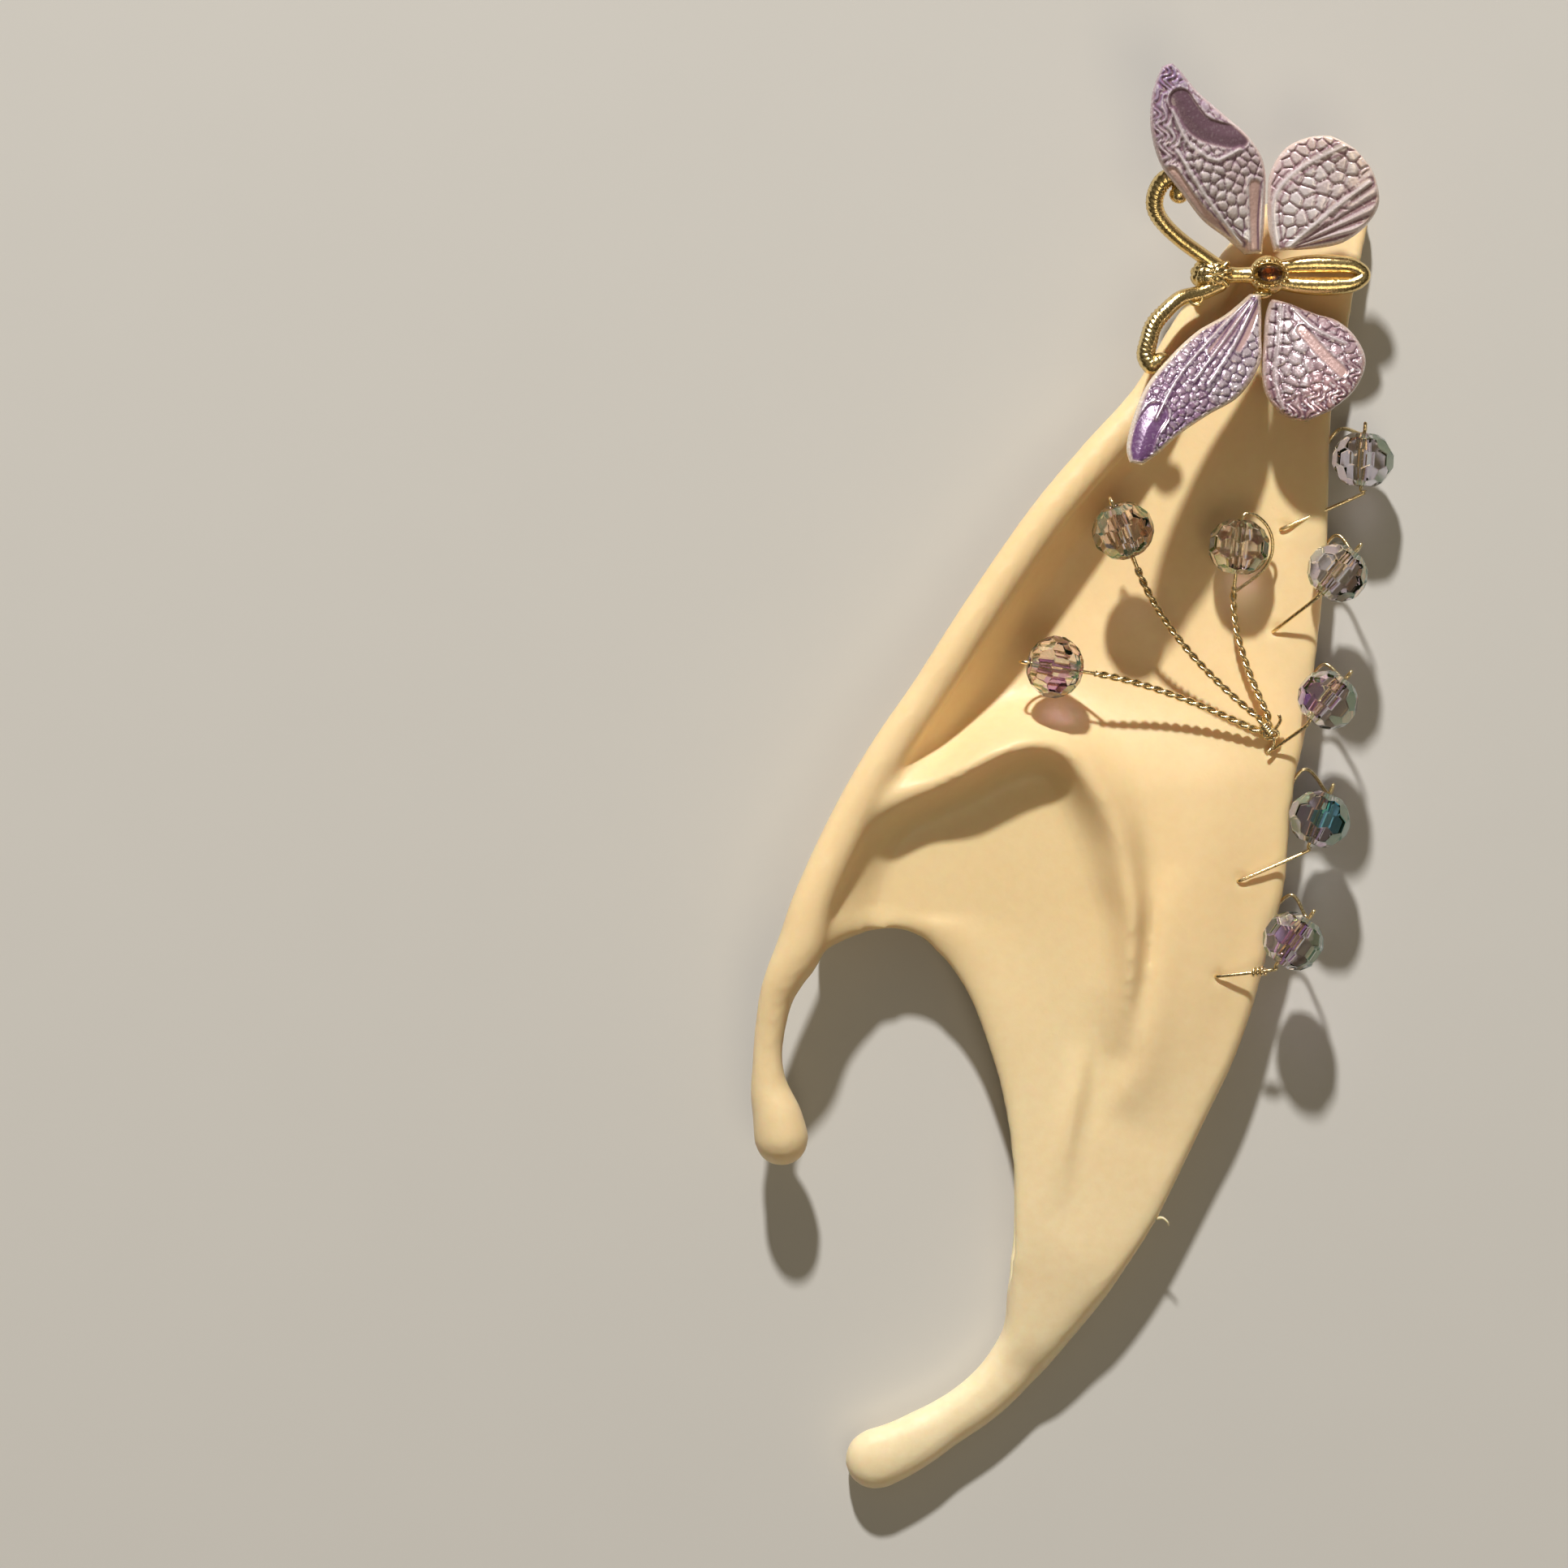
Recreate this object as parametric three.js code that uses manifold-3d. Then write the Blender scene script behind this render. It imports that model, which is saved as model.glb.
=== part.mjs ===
// An elf ear tip: a moulded latex ear that slips over the wearer's own, with a gold butterfly
// at its point, faceted beads wired along its outer edge and three more on twisted stalks.
// Millimetres. X runs across the ear, Y up to its point, Z out of its face.
// It lies on its flat back, with the origin at the bottom centre of its bounding box.

import * as THREE from 'three';
import { mergeVertices } from 'three/addons/utils/BufferGeometryUtils.js';
import Module from 'manifold-3d';

const wasm = await Module();
wasm.setup();

// Driving dimensions of the moulded ear.
const EAR_LENGTH = 175;
const EAR_WIDTH = 81.2;
const LEAF_WALL = 2.8;
const EDGE_ROUND = 1.6;
const HELIX_RADIUS = 2.6;
const ARM_RADIUS = 3.6;
const ARM_FLAT = 0.4;
const ARM_SQUASH = 0.85;
const POCKET_GAP = 4.9;
const POCKET_REAR_WALL = 1.8;
const POCKET_FRONT_WALL = 1.8;
const RIDGE_RISE = 7;

// Driving dimensions of the beads and wires.
const BEAD_DIAMETER = 8;
const BEAD_BORE = 1.4;
const BEAD_SIDES = 10;
const WIRE_DIAMETER = 0.5;
const WIRE_SIDES = 5;
const WIRE_STEPS = 2;
const TWIST_DIAMETER = 0.9;
const TWIST_SIDES = 6;
const PIERCE_DIAMETER = 1.2;
const KNOT_DIAMETER = 2.6;
const CLEARANCE = 0.3;

// Driving dimensions of the butterfly.
const BUTTERFLY_SPAN = 51;
const WING_THICKNESS = 1.4;
const HEAD_DIAMETER = 4.2;
const THORAX_DIAMETER = 5.2;
const STONE_LENGTH = 3.6;
const STONE_WIDTH = 2.4;
const BEZEL_WALL = 0.5;
const ABDOMEN_BAR = 2.2;
const ABDOMEN_LENGTH = 11;
const ABDOMEN_SLOT = 0.4;
const ANTENNA_DIAMETER = 2;
const PEG_DIAMETER = 3;

// The face over the pocket stands a rear wall, the pocket and a front wall above the back.
const POCKET_STACK = POCKET_REAR_WALL + POCKET_GAP + POCKET_FRONT_WALL;
const EAR_DEPTH = POCKET_STACK + RIDGE_RISE;

// Gives each row of a table the names of its columns.
function table(columns, rows) {
  return rows.map((row) => Object.fromEntries(columns.map((name, i) => [name, row[i]])));
}

// The leaf, one row from its inner to its outer edge, from the point down to the arm.
// Places are shares of the ear's width and length, rim and lip shares of its depth.
// dipAt is where the row is lowest, lift how far the pocket raises that dip,
// the back is flat from flatFrom to flatTo, and steps is how finely the mesh goes on to the
// next row.
const LEAF = table(
  ['inX', 'inY', 'outX', 'outY', 'rim', 'dipAt', 'lift', 'lip', 'flatFrom', 'flatTo', 'steps'],
  [
    [0.958, 0.990, 0.993, 0.984, 0.28, 0.50, 0.00, 0.29, 0.40, 0.60, 1],
    [0.893, 0.973, 1.004, 0.959, 0.31, 0.45, 0.00, 0.32, 0.35, 0.60, 1],
    [0.818, 0.942, 0.996, 0.936, 0.35, 0.40, 0.00, 0.36, 0.32, 0.60, 1],
    [0.755, 0.906, 0.980, 0.903, 0.38, 0.32, 0.00, 0.40, 0.28, 0.58, 1],
    [0.704, 0.868, 0.965, 0.860, 0.43, 0.27, 0.00, 0.43, 0.25, 0.55, 1],
    [0.644, 0.821, 0.942, 0.809, 0.50, 0.23, 0.00, 0.46, 0.22, 0.55, 1],
    [0.565, 0.778, 0.938, 0.754, 0.59, 0.19, 0.00, 0.48, 0.19, 0.55, 1],
    [0.478, 0.730, 0.933, 0.699, 0.67, 0.17, 0.00, 0.50, 0.17, 0.56, 2],
    [0.377, 0.663, 0.920, 0.642, 0.74, 0.16, 0.05, 0.52, 0.16, 0.58, 3],
    [0.296, 0.605, 0.907, 0.593, 0.78, 0.15, 0.32, 0.54, 0.13, 0.60, 6],
    [0.221, 0.553, 0.894, 0.559, 0.80, 0.15, 0.80, 0.55, 0.10, 0.64, 8],
    [0.160, 0.502, 0.883, 0.539, 0.82, 0.16, 1.00, 0.56, 0.08, 0.68, 4],
    [0.105, 0.447, 0.878, 0.520, 0.85, 0.16, 1.00, 0.56, 0.06, 0.70, 2],
    [0.105, 0.409, 0.873, 0.504, 0.84, 0.17, 1.00, 0.56, 0.02, 0.70, 1],
    [0.166, 0.418, 0.869, 0.475, 0.68, 0.24, 1.00, 0.56, -0.2, 0.70, 1],
    [0.212, 0.423, 0.861, 0.447, 0.60, 0.30, 1.00, 0.56, -0.2, 0.70, 1],
    [0.263, 0.417, 0.840, 0.411, 0.59, 0.34, 1.00, 0.56, -0.2, 0.70, 1],
    [0.310, 0.401, 0.814, 0.366, 0.59, 0.36, 1.00, 0.56, -0.2, 0.70, 1],
    [0.349, 0.375, 0.781, 0.323, 0.60, 0.38, 1.00, 0.56, -0.2, 0.70, 1],
    [0.377, 0.343, 0.742, 0.285, 0.60, 0.40, 1.00, 0.55, -0.2, 0.70, 1],
    [0.404, 0.302, 0.703, 0.247, 0.60, 0.42, 1.00, 0.54, -0.2, 0.70, 1],
    [0.421, 0.253, 0.657, 0.204, 0.60, 0.45, 1.00, 0.52, -0.2, 0.72, 1],
    [0.424, 0.202, 0.605, 0.166, 0.59, 0.50, 1.00, 0.50, -0.2, 0.78, 1],
    [0.416, 0.147, 0.559, 0.135, 0.52, 0.50, 0.85, 0.46, -0.2, 0.90, 1],
    [0.410, 0.117, 0.517, 0.111, 0.46, 0.50, 0.72, 0.43, -0.2, 1.00, 1],
    [0.381, 0.091, 0.471, 0.084, 0.40, 0.50, 0.57, 0.38, -0.2, 1.00, 0],
  ],
);

// The rolled rim from the point round to the bulb of the upper hook.
const HELIX = table(
  ['x', 'y', 'height', 'radius'],
  [
    [0.967, 0.988, 0.23, 0.37],
    [0.919, 0.982, 0.25, 0.49],
    [0.866, 0.967, 0.27, 0.65],
    [0.814, 0.942, 0.30, 0.74],
    [0.762, 0.909, 0.32, 0.82],
    [0.704, 0.868, 0.36, 0.90],
    [0.644, 0.820, 0.43, 0.94],
    [0.565, 0.778, 0.52, 0.98],
    [0.478, 0.730, 0.60, 0.98],
    [0.377, 0.663, 0.67, 0.98],
    [0.296, 0.605, 0.71, 0.98],
    [0.221, 0.553, 0.75, 1.02],
    [0.160, 0.502, 0.76, 1.06],
    [0.105, 0.447, 0.79, 1.06],
    [0.084, 0.412, 0.76, 1.22],
    [0.058, 0.389, 0.75, 1.02],
    [0.042, 0.370, 0.72, 0.86],
    [0.031, 0.339, 0.68, 0.76],
    [0.030, 0.318, 0.66, 0.82],
    [0.034, 0.302, 0.63, 1.02],
    [0.045, 0.284, 0.61, 1.26],
    [0.052, 0.267, 0.59, 1.39],
  ],
);

// The lower arm from inside the leaf to its round end.
const ARM = table(
  ['x', 'y', 'radius'],
  [
    [0.513, 0.165, 1.06],
    [0.480, 0.132, 1.12],
    [0.444, 0.106, 1.06],
    [0.408, 0.084, 0.97],
    [0.363, 0.065, 0.94],
    [0.310, 0.049, 0.94],
    [0.251, 0.033, 1.03],
    [0.205, 0.024, 1.12],
  ],
);

// Folds of the face, each a curve of crests. left and right are the half-widths to either
// side of the way along it, as shares of the ear's width, and height is a share of its depth.
const FOLD_COLUMNS = ['x', 'y', 'height', 'left', 'right'];
const FOLDS = [
  // The antihelix: out of the rim, over the hollow and down beside it.
  table(FOLD_COLUMNS, [
    [0.199, 0.508, 0.10, 0.035, 0.030],
    [0.271, 0.526, 0.32, 0.036, 0.030],
    [0.344, 0.542, 0.45, 0.038, 0.030],
    [0.398, 0.555, 0.49, 0.042, 0.030],
    [0.455, 0.562, 0.47, 0.046, 0.030],
    [0.507, 0.556, 0.39, 0.046, 0.032],
    [0.552, 0.533, 0.31, 0.042, 0.036],
    [0.590, 0.498, 0.26, 0.034, 0.038],
    [0.605, 0.468, 0.24, 0.030, 0.036],
    [0.614, 0.440, 0.24, 0.028, 0.030],
    [0.614, 0.417, 0.21, 0.026, 0.028],
    [0.611, 0.386, 0.16, 0.026, 0.028],
    [0.594, 0.327, 0.00, 0.026, 0.028],
  ]),
  // The valley beside it.
  table(FOLD_COLUMNS, [
    [0.624, 0.505, 0.00, 0.014, 0.014],
    [0.637, 0.463, -0.03, 0.014, 0.014],
    [0.644, 0.420, -0.04, 0.014, 0.014],
    [0.637, 0.380, -0.03, 0.014, 0.014],
    [0.627, 0.347, 0.00, 0.014, 0.014],
  ]),
  // The second ridge, down to the lobe.
  table(FOLD_COLUMNS, [
    [0.677, 0.475, 0.00, 0.035, 0.016],
    [0.668, 0.432, 0.05, 0.035, 0.016],
    [0.657, 0.386, 0.07, 0.035, 0.016],
    [0.637, 0.339, 0.07, 0.035, 0.018],
    [0.618, 0.308, 0.05, 0.035, 0.020],
    [0.590, 0.285, 0.00, 0.035, 0.022],
  ]),
  // The valley and the low ridge that run into the arm.
  table(FOLD_COLUMNS, [
    [0.558, 0.380, 0.00, 0.018, 0.018],
    [0.564, 0.325, -0.04, 0.018, 0.018],
    [0.551, 0.262, 0.00, 0.018, 0.018],
  ]),
  table(FOLD_COLUMNS, [
    [0.537, 0.340, 0.00, 0.016, 0.020],
    [0.525, 0.300, 0.05, 0.016, 0.020],
    [0.510, 0.262, 0.05, 0.016, 0.020],
    [0.497, 0.210, 0.00, 0.016, 0.020],
  ]),
  // The broad swell of the outer leaf.
  table(FOLD_COLUMNS, [
    [0.740, 0.560, 0.00, 0.080, 0.080],
    [0.730, 0.480, 0.08, 0.080, 0.080],
    [0.710, 0.380, 0.09, 0.070, 0.070],
    [0.640, 0.270, 0.00, 0.060, 0.060],
  ]),
];

// The pocket, rows fanning from its mouth in the notch to its closed depth.
const POCKET = table(
  ['mouthX', 'mouthY', 'deepX', 'deepY'],
  [
    [0.166, 0.396, 0.212, 0.462],
    [0.199, 0.394, 0.250, 0.505],
    [0.232, 0.391, 0.343, 0.540],
    [0.251, 0.385, 0.454, 0.553],
    [0.264, 0.376, 0.545, 0.542],
    [0.284, 0.360, 0.610, 0.505],
    [0.310, 0.340, 0.640, 0.444],
    [0.336, 0.310, 0.635, 0.372],
    [0.356, 0.268, 0.600, 0.311],
    [0.369, 0.226, 0.550, 0.256],
    [0.376, 0.183, 0.500, 0.208],
    [0.378, 0.150, 0.470, 0.170],
  ],
);

// Edge beads, tip first. at, over and hole are shares of the way down the leaf's rows: the
// bead's, the place where its wire goes round the edge, and its hole's. out is the way past
// the edge and inset the hole's way in from it, both in bead diameters, and tilt leans the
// bore from upright in degrees, outwards at the top.
const EDGE_BEADS = table(
  ['at', 'out', 'over', 'hole', 'inset', 'tilt'],
  [
    [0.223, 0.53, 0.209, 0.265, 0.70, 4],
    [0.286, 0.14, 0.266, 0.318, 0.72, 40],
    [0.358, 0.22, 0.336, 0.402, 0.52, 40],
    [0.526, 0.48, 0.435, 0.574, 0.74, 22],
    [0.636, 0.32, 0.598, 0.663, 0.70, 35],
  ],
);

// The stalks, from the hub to a bead each. rise is the bead's height over the face and bow
// the stalk's sideways bend, both in bead diameters, and roll turns the loop that comes back
// outside the bead from its side to under it, in degrees.
const HUB = { x: 0.840, y: 0.569 };
const SPRAYS = table(
  ['name', 'x', 'y', 'rise', 'bow', 'roll'],
  [
    ['a', 0.599, 0.720, 1.42, 0.25, 90],
    ['b', 0.788, 0.709, 0.62, 0.20, 165],
    ['c', 0.491, 0.619, 1.03, -0.12, 90],
  ],
);

// The butterfly's thorax on the ear. Its head's way ahead of that and its wings are in shares
// of its span, each wing row from the leading to the trailing edge, from root to tip.
const THORAX = { x: 0.836, y: 0.912 };
const HEAD_WAY = 0.145;
const WING_COLUMNS = ['leadX', 'leadY', 'trailX', 'trailY', 'rise'];
const WINGS = {
  forewing_upper: table(WING_COLUMNS, [
    [-0.062, 0.050, -0.018, 0.052, 0.02],
    [-0.113, 0.090, -0.013, 0.163, 0.05],
    [-0.175, 0.133, -0.017, 0.271, 0.09],
    [-0.233, 0.202, -0.056, 0.338, 0.13],
    [-0.285, 0.267, -0.125, 0.396, 0.16],
    [-0.312, 0.354, -0.192, 0.450, 0.19],
    [-0.310, 0.442, -0.233, 0.496, 0.21],
    [-0.287, 0.510, -0.258, 0.520, 0.22],
  ]),
  forewing_lower: table(WING_COLUMNS, [
    [-0.050, -0.050, -0.020, -0.052, 0.02],
    [-0.113, -0.104, -0.022, -0.156, 0.05],
    [-0.188, -0.150, -0.029, -0.233, 0.09],
    [-0.258, -0.215, -0.083, -0.317, 0.13],
    [-0.321, -0.292, -0.167, -0.369, 0.17],
    [-0.358, -0.379, -0.240, -0.419, 0.20],
    [-0.375, -0.450, -0.296, -0.469, 0.22],
    [-0.368, -0.492, -0.338, -0.498, 0.23],
  ]),
  hindwing_upper: table(WING_COLUMNS, [
    [0.012, 0.058, 0.058, 0.062, 0.01],
    [-0.002, 0.115, 0.133, 0.068, 0.02],
    [-0.006, 0.188, 0.194, 0.083, 0.04],
    [0.000, 0.258, 0.250, 0.127, 0.06],
    [0.037, 0.317, 0.277, 0.183, 0.08],
    [0.096, 0.344, 0.258, 0.258, 0.10],
    [0.150, 0.347, 0.212, 0.314, 0.11],
  ]),
  hindwing_lower: table(WING_COLUMNS, [
    [0.004, -0.062, 0.055, -0.075, 0.01],
    [-0.010, -0.108, 0.117, -0.100, 0.02],
    [-0.016, -0.175, 0.175, -0.121, 0.04],
    [-0.022, -0.254, 0.221, -0.167, 0.06],
    [-0.008, -0.321, 0.242, -0.229, 0.08],
    [0.037, -0.369, 0.212, -0.300, 0.10],
    [0.088, -0.382, 0.150, -0.354, 0.11],
  ]),
};

// The curled feelers, in shares of the span from the thorax.
const ANTENNA_COLUMNS = ['x', 'y', 'rise'];
const ANTENNAE = [
  table(ANTENNA_COLUMNS, [
    [-0.130, 0.020, 0.010],
    [-0.177, 0.052, 0.020],
    [-0.227, 0.087, 0.035],
    [-0.269, 0.125, 0.050],
    [-0.292, 0.160, 0.060],
    [-0.294, 0.196, 0.070],
    [-0.277, 0.231, 0.080],
    [-0.248, 0.246, 0.085],
    [-0.226, 0.228, 0.085],
    [-0.234, 0.200, 0.080],
  ]),
  table(ANTENNA_COLUMNS, [
    [-0.125, -0.025, 0.010],
    [-0.177, -0.048, 0.020],
    [-0.227, -0.062, 0.035],
    [-0.269, -0.098, 0.050],
    [-0.298, -0.133, 0.060],
    [-0.312, -0.177, 0.070],
    [-0.318, -0.212, 0.075],
    [-0.303, -0.236, 0.080],
    [-0.281, -0.226, 0.080],
  ]),
];

// A smooth value of every column of a table, share of the way through its rows.
function sampleTable(rows, share) {
  const place = THREE.MathUtils.clamp(share, 0, 1) * (rows.length - 1);
  const index = Math.min(Math.floor(place), rows.length - 2);
  const t = place - index;
  const near = [-1, 0, 1, 2].map((step) => {
    return rows[THREE.MathUtils.clamp(index + step, 0, rows.length - 1)];
  });
  const values = {};
  for (const name of Object.keys(rows[0])) {
    const [a, b, c, d] = near.map((row) => row[name]);
    const curve = (2 * a - 5 * b + 4 * c - d) * t * t + (3 * b - a - 3 * c + d) * t * t * t;
    values[name] = 0.5 * (2 * b + (c - a) * t + curve);
  }
  return values;
}

// A quarter circle from 0 at an edge to 1 at the given way in from it.
function roundEdge(distance, radius) {
  const share = THREE.MathUtils.clamp(distance / radius, 0, 1);
  return Math.sqrt(1 - (1 - share) ** 2);
}

function smoothStep(low, high, value) {
  return THREE.MathUtils.smoothstep(value, low, high);
}

// Each fold as a dense chain of crest points in millimetres.
const FOLD_CHAINS = FOLDS.map((rows) => {
  const count = (rows.length - 1) * 4;
  return Array.from({ length: count + 1 }, (_, i) => {
    const row = sampleTable(rows, i / count);
    return {
      place: new THREE.Vector2(row.x * EAR_WIDTH, row.y * EAR_LENGTH),
      height: row.height * EAR_DEPTH,
      left: row.left * EAR_WIDTH,
      right: row.right * EAR_WIDTH,
    };
  });
});

// The height that one fold adds at a place of the face.
function foldHeight(chain, place) {
  let best = { distance: Infinity, height: 0 };
  for (let i = 0; i + 1 < chain.length; i += 1) {
    const [from, to] = [chain[i], chain[i + 1]];
    const along = to.place.clone().sub(from.place);
    const reach = place.clone().sub(from.place);
    const t = THREE.MathUtils.clamp(reach.dot(along) / along.lengthSq(), 0, 1);
    const distance = reach.sub(along.clone().multiplyScalar(t)).length();
    if (distance < best.distance) {
      const side = along.cross(place.clone().sub(from.place)) > 0 ? 'left' : 'right';
      const width = THREE.MathUtils.lerp(from[side], to[side], t);
      const crest = THREE.MathUtils.lerp(from.height, to.height, t);
      best = { distance, height: crest * Math.exp(-((distance / width) ** 2)) };
    }
  }
  return best.height;
}

// The place, the face height and the back height at u across and v down the leaf.
function leafPoint(u, v) {
  const row = sampleTable(LEAF, v);
  const inner = new THREE.Vector2(row.inX * EAR_WIDTH, row.inY * EAR_LENGTH);
  const outer = new THREE.Vector2(row.outX * EAR_WIDTH, row.outY * EAR_LENGTH);
  const place = inner.clone().lerp(outer, u);
  const lift = THREE.MathUtils.clamp(row.lift, 0, 1);
  const dip = THREE.MathUtils.lerp(LEAF_WALL, POCKET_STACK, lift);
  const base = u < row.dipAt
    ? THREE.MathUtils.lerp(row.rim * EAR_DEPTH, dip, smoothStep(0, 1, u / row.dipAt))
    : THREE.MathUtils.lerp(dip, row.lip * EAR_DEPTH, ((u - row.dipAt) / (1 - row.dipAt)) ** 1.6);
  const folds = FOLD_CHAINS.reduce((sum, chain) => sum + foldHeight(chain, place), 0);
  const flat = smoothStep(row.flatFrom - 0.12, row.flatFrom, u)
    * (1 - smoothStep(row.flatTo, row.flatTo + 0.25, u));
  return {
    place,
    width: inner.distanceTo(outer),
    front: base + folds,
    back: Math.max(base - LEAF_WALL, 0) * (1 - flat),
  };
}

// The leaf's point under a place of the plan: the row through it, then the share across.
function leafUnder(place) {
  const side = (v) => {
    const row = sampleTable(LEAF, v);
    const inner = new THREE.Vector2(row.inX * EAR_WIDTH, row.inY * EAR_LENGTH);
    const outer = new THREE.Vector2(row.outX * EAR_WIDTH, row.outY * EAR_LENGTH);
    return outer.sub(inner).cross(place.clone().sub(inner));
  };
  let [above, below] = [0, 1];
  for (let step = 0; step < 40; step += 1) {
    const middle = (above + below) / 2;
    if (side(middle) < 0) above = middle;
    else below = middle;
  }
  const start = leafPoint(0, above).place;
  const end = leafPoint(1, above).place;
  const across = end.sub(start);
  const u = place.clone().sub(start).dot(across) / across.lengthSq();
  return leafPoint(THREE.MathUtils.clamp(u, 0, 1), above);
}

// A closed sheet with a face and a back that share their border, from a grid of points.
function pillow(columns, rows, pointAt) {
  const positions = [];
  const index = { face: [], back: [] };
  for (let j = 0; j <= rows; j += 1) {
    for (let i = 0; i <= columns; i += 1) {
      const { place, front, back } = pointAt(i, j);
      const border = i === 0 || i === columns || j === 0 || j === rows;
      index.face.push(positions.length / 3);
      index.back.push(positions.length / 3 + (border ? 0 : 1));
      positions.push(place.x, place.y, border ? (front + back) / 2 : front);
      if (!border) positions.push(place.x, place.y, back);
    }
  }
  const faces = [];
  for (let j = 0; j < rows; j += 1) {
    for (let i = 0; i < columns; i += 1) {
      const corners = [0, 1, columns + 2, columns + 1].map((k) => j * (columns + 1) + i + k);
      const [a, b, c, d] = corners.map((k) => index.face[k]);
      faces.push(a, d, c, a, c, b);
      const [e, f, g, h] = corners.map((k) => index.back[k]);
      faces.push(e, g, h, e, f, g);
    }
  }
  return meshGeometry(positions, faces);
}

// A mesh of shared points whose faces point out, whichever way they were listed.
function meshGeometry(positions, faces) {
  const corner = (k) => new THREE.Vector3().fromArray(positions, faces[k] * 3);
  let volume = 0;
  for (let k = 0; k < faces.length; k += 3) {
    volume += corner(k).dot(corner(k + 1).cross(corner(k + 2)));
  }
  const geometry = new THREE.BufferGeometry();
  geometry.setAttribute('position', new THREE.Float32BufferAttribute(positions, 3));
  geometry.setIndex(volume < 0 ? faces.toReversed() : faces);
  return geometry;
}

// A round bar through stations of a centre and a radius, with domed ends.
function bar(stations, sides) {
  const domes = [75, 50, 25];
  const rings = [];
  stations.forEach(({ centre, radius }, i) => {
    const before = stations[Math.max(i - 1, 0)].centre;
    const after = stations[Math.min(i + 1, stations.length - 1)].centre;
    const along = after.clone().sub(before).normalize();
    const dome = (angle, way) => {
      const turn = THREE.MathUtils.degToRad(angle);
      const moved = centre.clone().addScaledVector(along, way * radius * Math.sin(turn));
      return { centre: moved, radius: radius * Math.cos(turn), along };
    };
    if (i === 0) rings.push(...domes.map((angle) => dome(angle, -1)));
    rings.push({ centre, radius, along });
    if (i === stations.length - 1) rings.push(...domes.toReversed().map((a) => dome(a, 1)));
  });
  const positions = [];
  const up = new THREE.Vector3(0, 0, 1);
  for (const { centre, radius, along } of rings) {
    const side = along.clone().cross(up).normalize();
    const out = side.clone().cross(along);
    for (let k = 0; k < sides; k += 1) {
      const turn = (k / sides) * 2 * Math.PI;
      const point = centre.clone().addScaledVector(side, radius * Math.cos(turn));
      positions.push(...point.addScaledVector(out, radius * Math.sin(turn)).toArray());
    }
  }
  const [first, last] = [stations[0], stations.at(-1)];
  const tips = [
    first.centre.clone().addScaledVector(rings[0].along, -first.radius),
    last.centre.clone().addScaledVector(rings.at(-1).along, last.radius),
  ];
  const tip = positions.length / 3;
  tips.forEach((point) => positions.push(...point.toArray()));
  const faces = [];
  for (let k = 0; k < sides; k += 1) {
    const next = (k + 1) % sides;
    faces.push(tip, next, k);
    const end = (rings.length - 1) * sides;
    faces.push(tip + 1, end + k, end + next);
    for (let j = 0; j + 1 < rings.length; j += 1) {
      const [a, b] = [j * sides + k, j * sides + next];
      faces.push(a, b, b + sides, a, b + sides, a + sides);
    }
  }
  return meshGeometry(positions, faces);
}

// A route that goes from point to point in equal steps, however far apart they are.
class Route extends THREE.CatmullRomCurve3 {
  getUtoTmapping(share) {
    return share;
  }
}

// A round wire through points, with a number of steps from each point to the next.
function wire(points, diameter, sides, fineness) {
  const section = new THREE.Shape(Array.from({ length: sides }, (_, k) => {
    const turn = (k / sides) * 2 * Math.PI;
    return new THREE.Vector2(Math.cos(turn), Math.sin(turn)).multiplyScalar(diameter / 2);
  }));
  const extrudePath = new Route(points, false, 'centripetal');
  const steps = (points.length - 1) * fineness;
  return new THREE.ExtrudeGeometry(section, { steps, extrudePath, bevelEnabled: false });
}

// A closed mesh as a solid that can be joined and cut.
function solid(geometry) {
  const bare = geometry.clone();
  bare.deleteAttribute('normal');
  bare.deleteAttribute('uv');
  const merged = mergeVertices(bare, 1e-4);
  return new wasm.Manifold(new wasm.Mesh({
    numProp: 3,
    vertProperties: merged.attributes.position.array,
    triVerts: new Uint32Array(merged.index.array),
  }));
}

function geometryOf(made) {
  const mesh = made.getMesh();
  return meshGeometry(Array.from(mesh.vertProperties), Array.from(mesh.triVerts));
}

const joined = (solids) => solids.reduce((sum, next) => sum.add(next));

// The pieces of the ear before its cuts.
function leafSolid() {
  const edges = [0, 0.08, 0.35, 1];
  const across = [0.09, 0.18, 0.27, 0.36, 0.44, 0.5, 0.55, 0.59, 0.63, 0.67, 0.73, 0.81, 0.9];
  const columns = across.length + 2 * edges.length - 1;
  const down = LEAF.flatMap(({ steps }, row) => {
    return Array.from({ length: steps }, (_, k) => (row + k / steps) / (LEAF.length - 1));
  });
  down.push(1);
  const rows = down.length - 1;
  const spread = (i, width) => {
    const round = Math.min(EDGE_ROUND, width * 0.45);
    if (i < edges.length) return (edges[i] * round) / width;
    if (i > columns - edges.length) return 1 - (edges[columns - i] * round) / width;
    return THREE.MathUtils.lerp(round, width - round, across[i - edges.length]) / width;
  };
  return solid(pillow(columns, rows, (i, j) => {
    const v = down[j];
    const { width } = leafPoint(0, v);
    const u = spread(i, width);
    const point = leafPoint(u, v);
    const round = Math.min(EDGE_ROUND, width * 0.45);
    const thick = roundEdge(Math.min(u, 1 - u) * width, round) * roundEdge(Math.min(j, rows - j), 2);
    const middle = (point.front + point.back) / 2;
    return {
      place: point.place,
      front: THREE.MathUtils.lerp(middle, point.front, thick),
      back: THREE.MathUtils.lerp(middle, point.back, thick),
    };
  }));
}

const HELIX_RINGS = 36;
const helixAt = (share) => {
  const row = sampleTable(HELIX, share);
  const centre = new THREE.Vector3(row.x * EAR_WIDTH, row.y * EAR_LENGTH, row.height * EAR_DEPTH);
  return { centre, radius: row.radius * HELIX_RADIUS };
};

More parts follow.
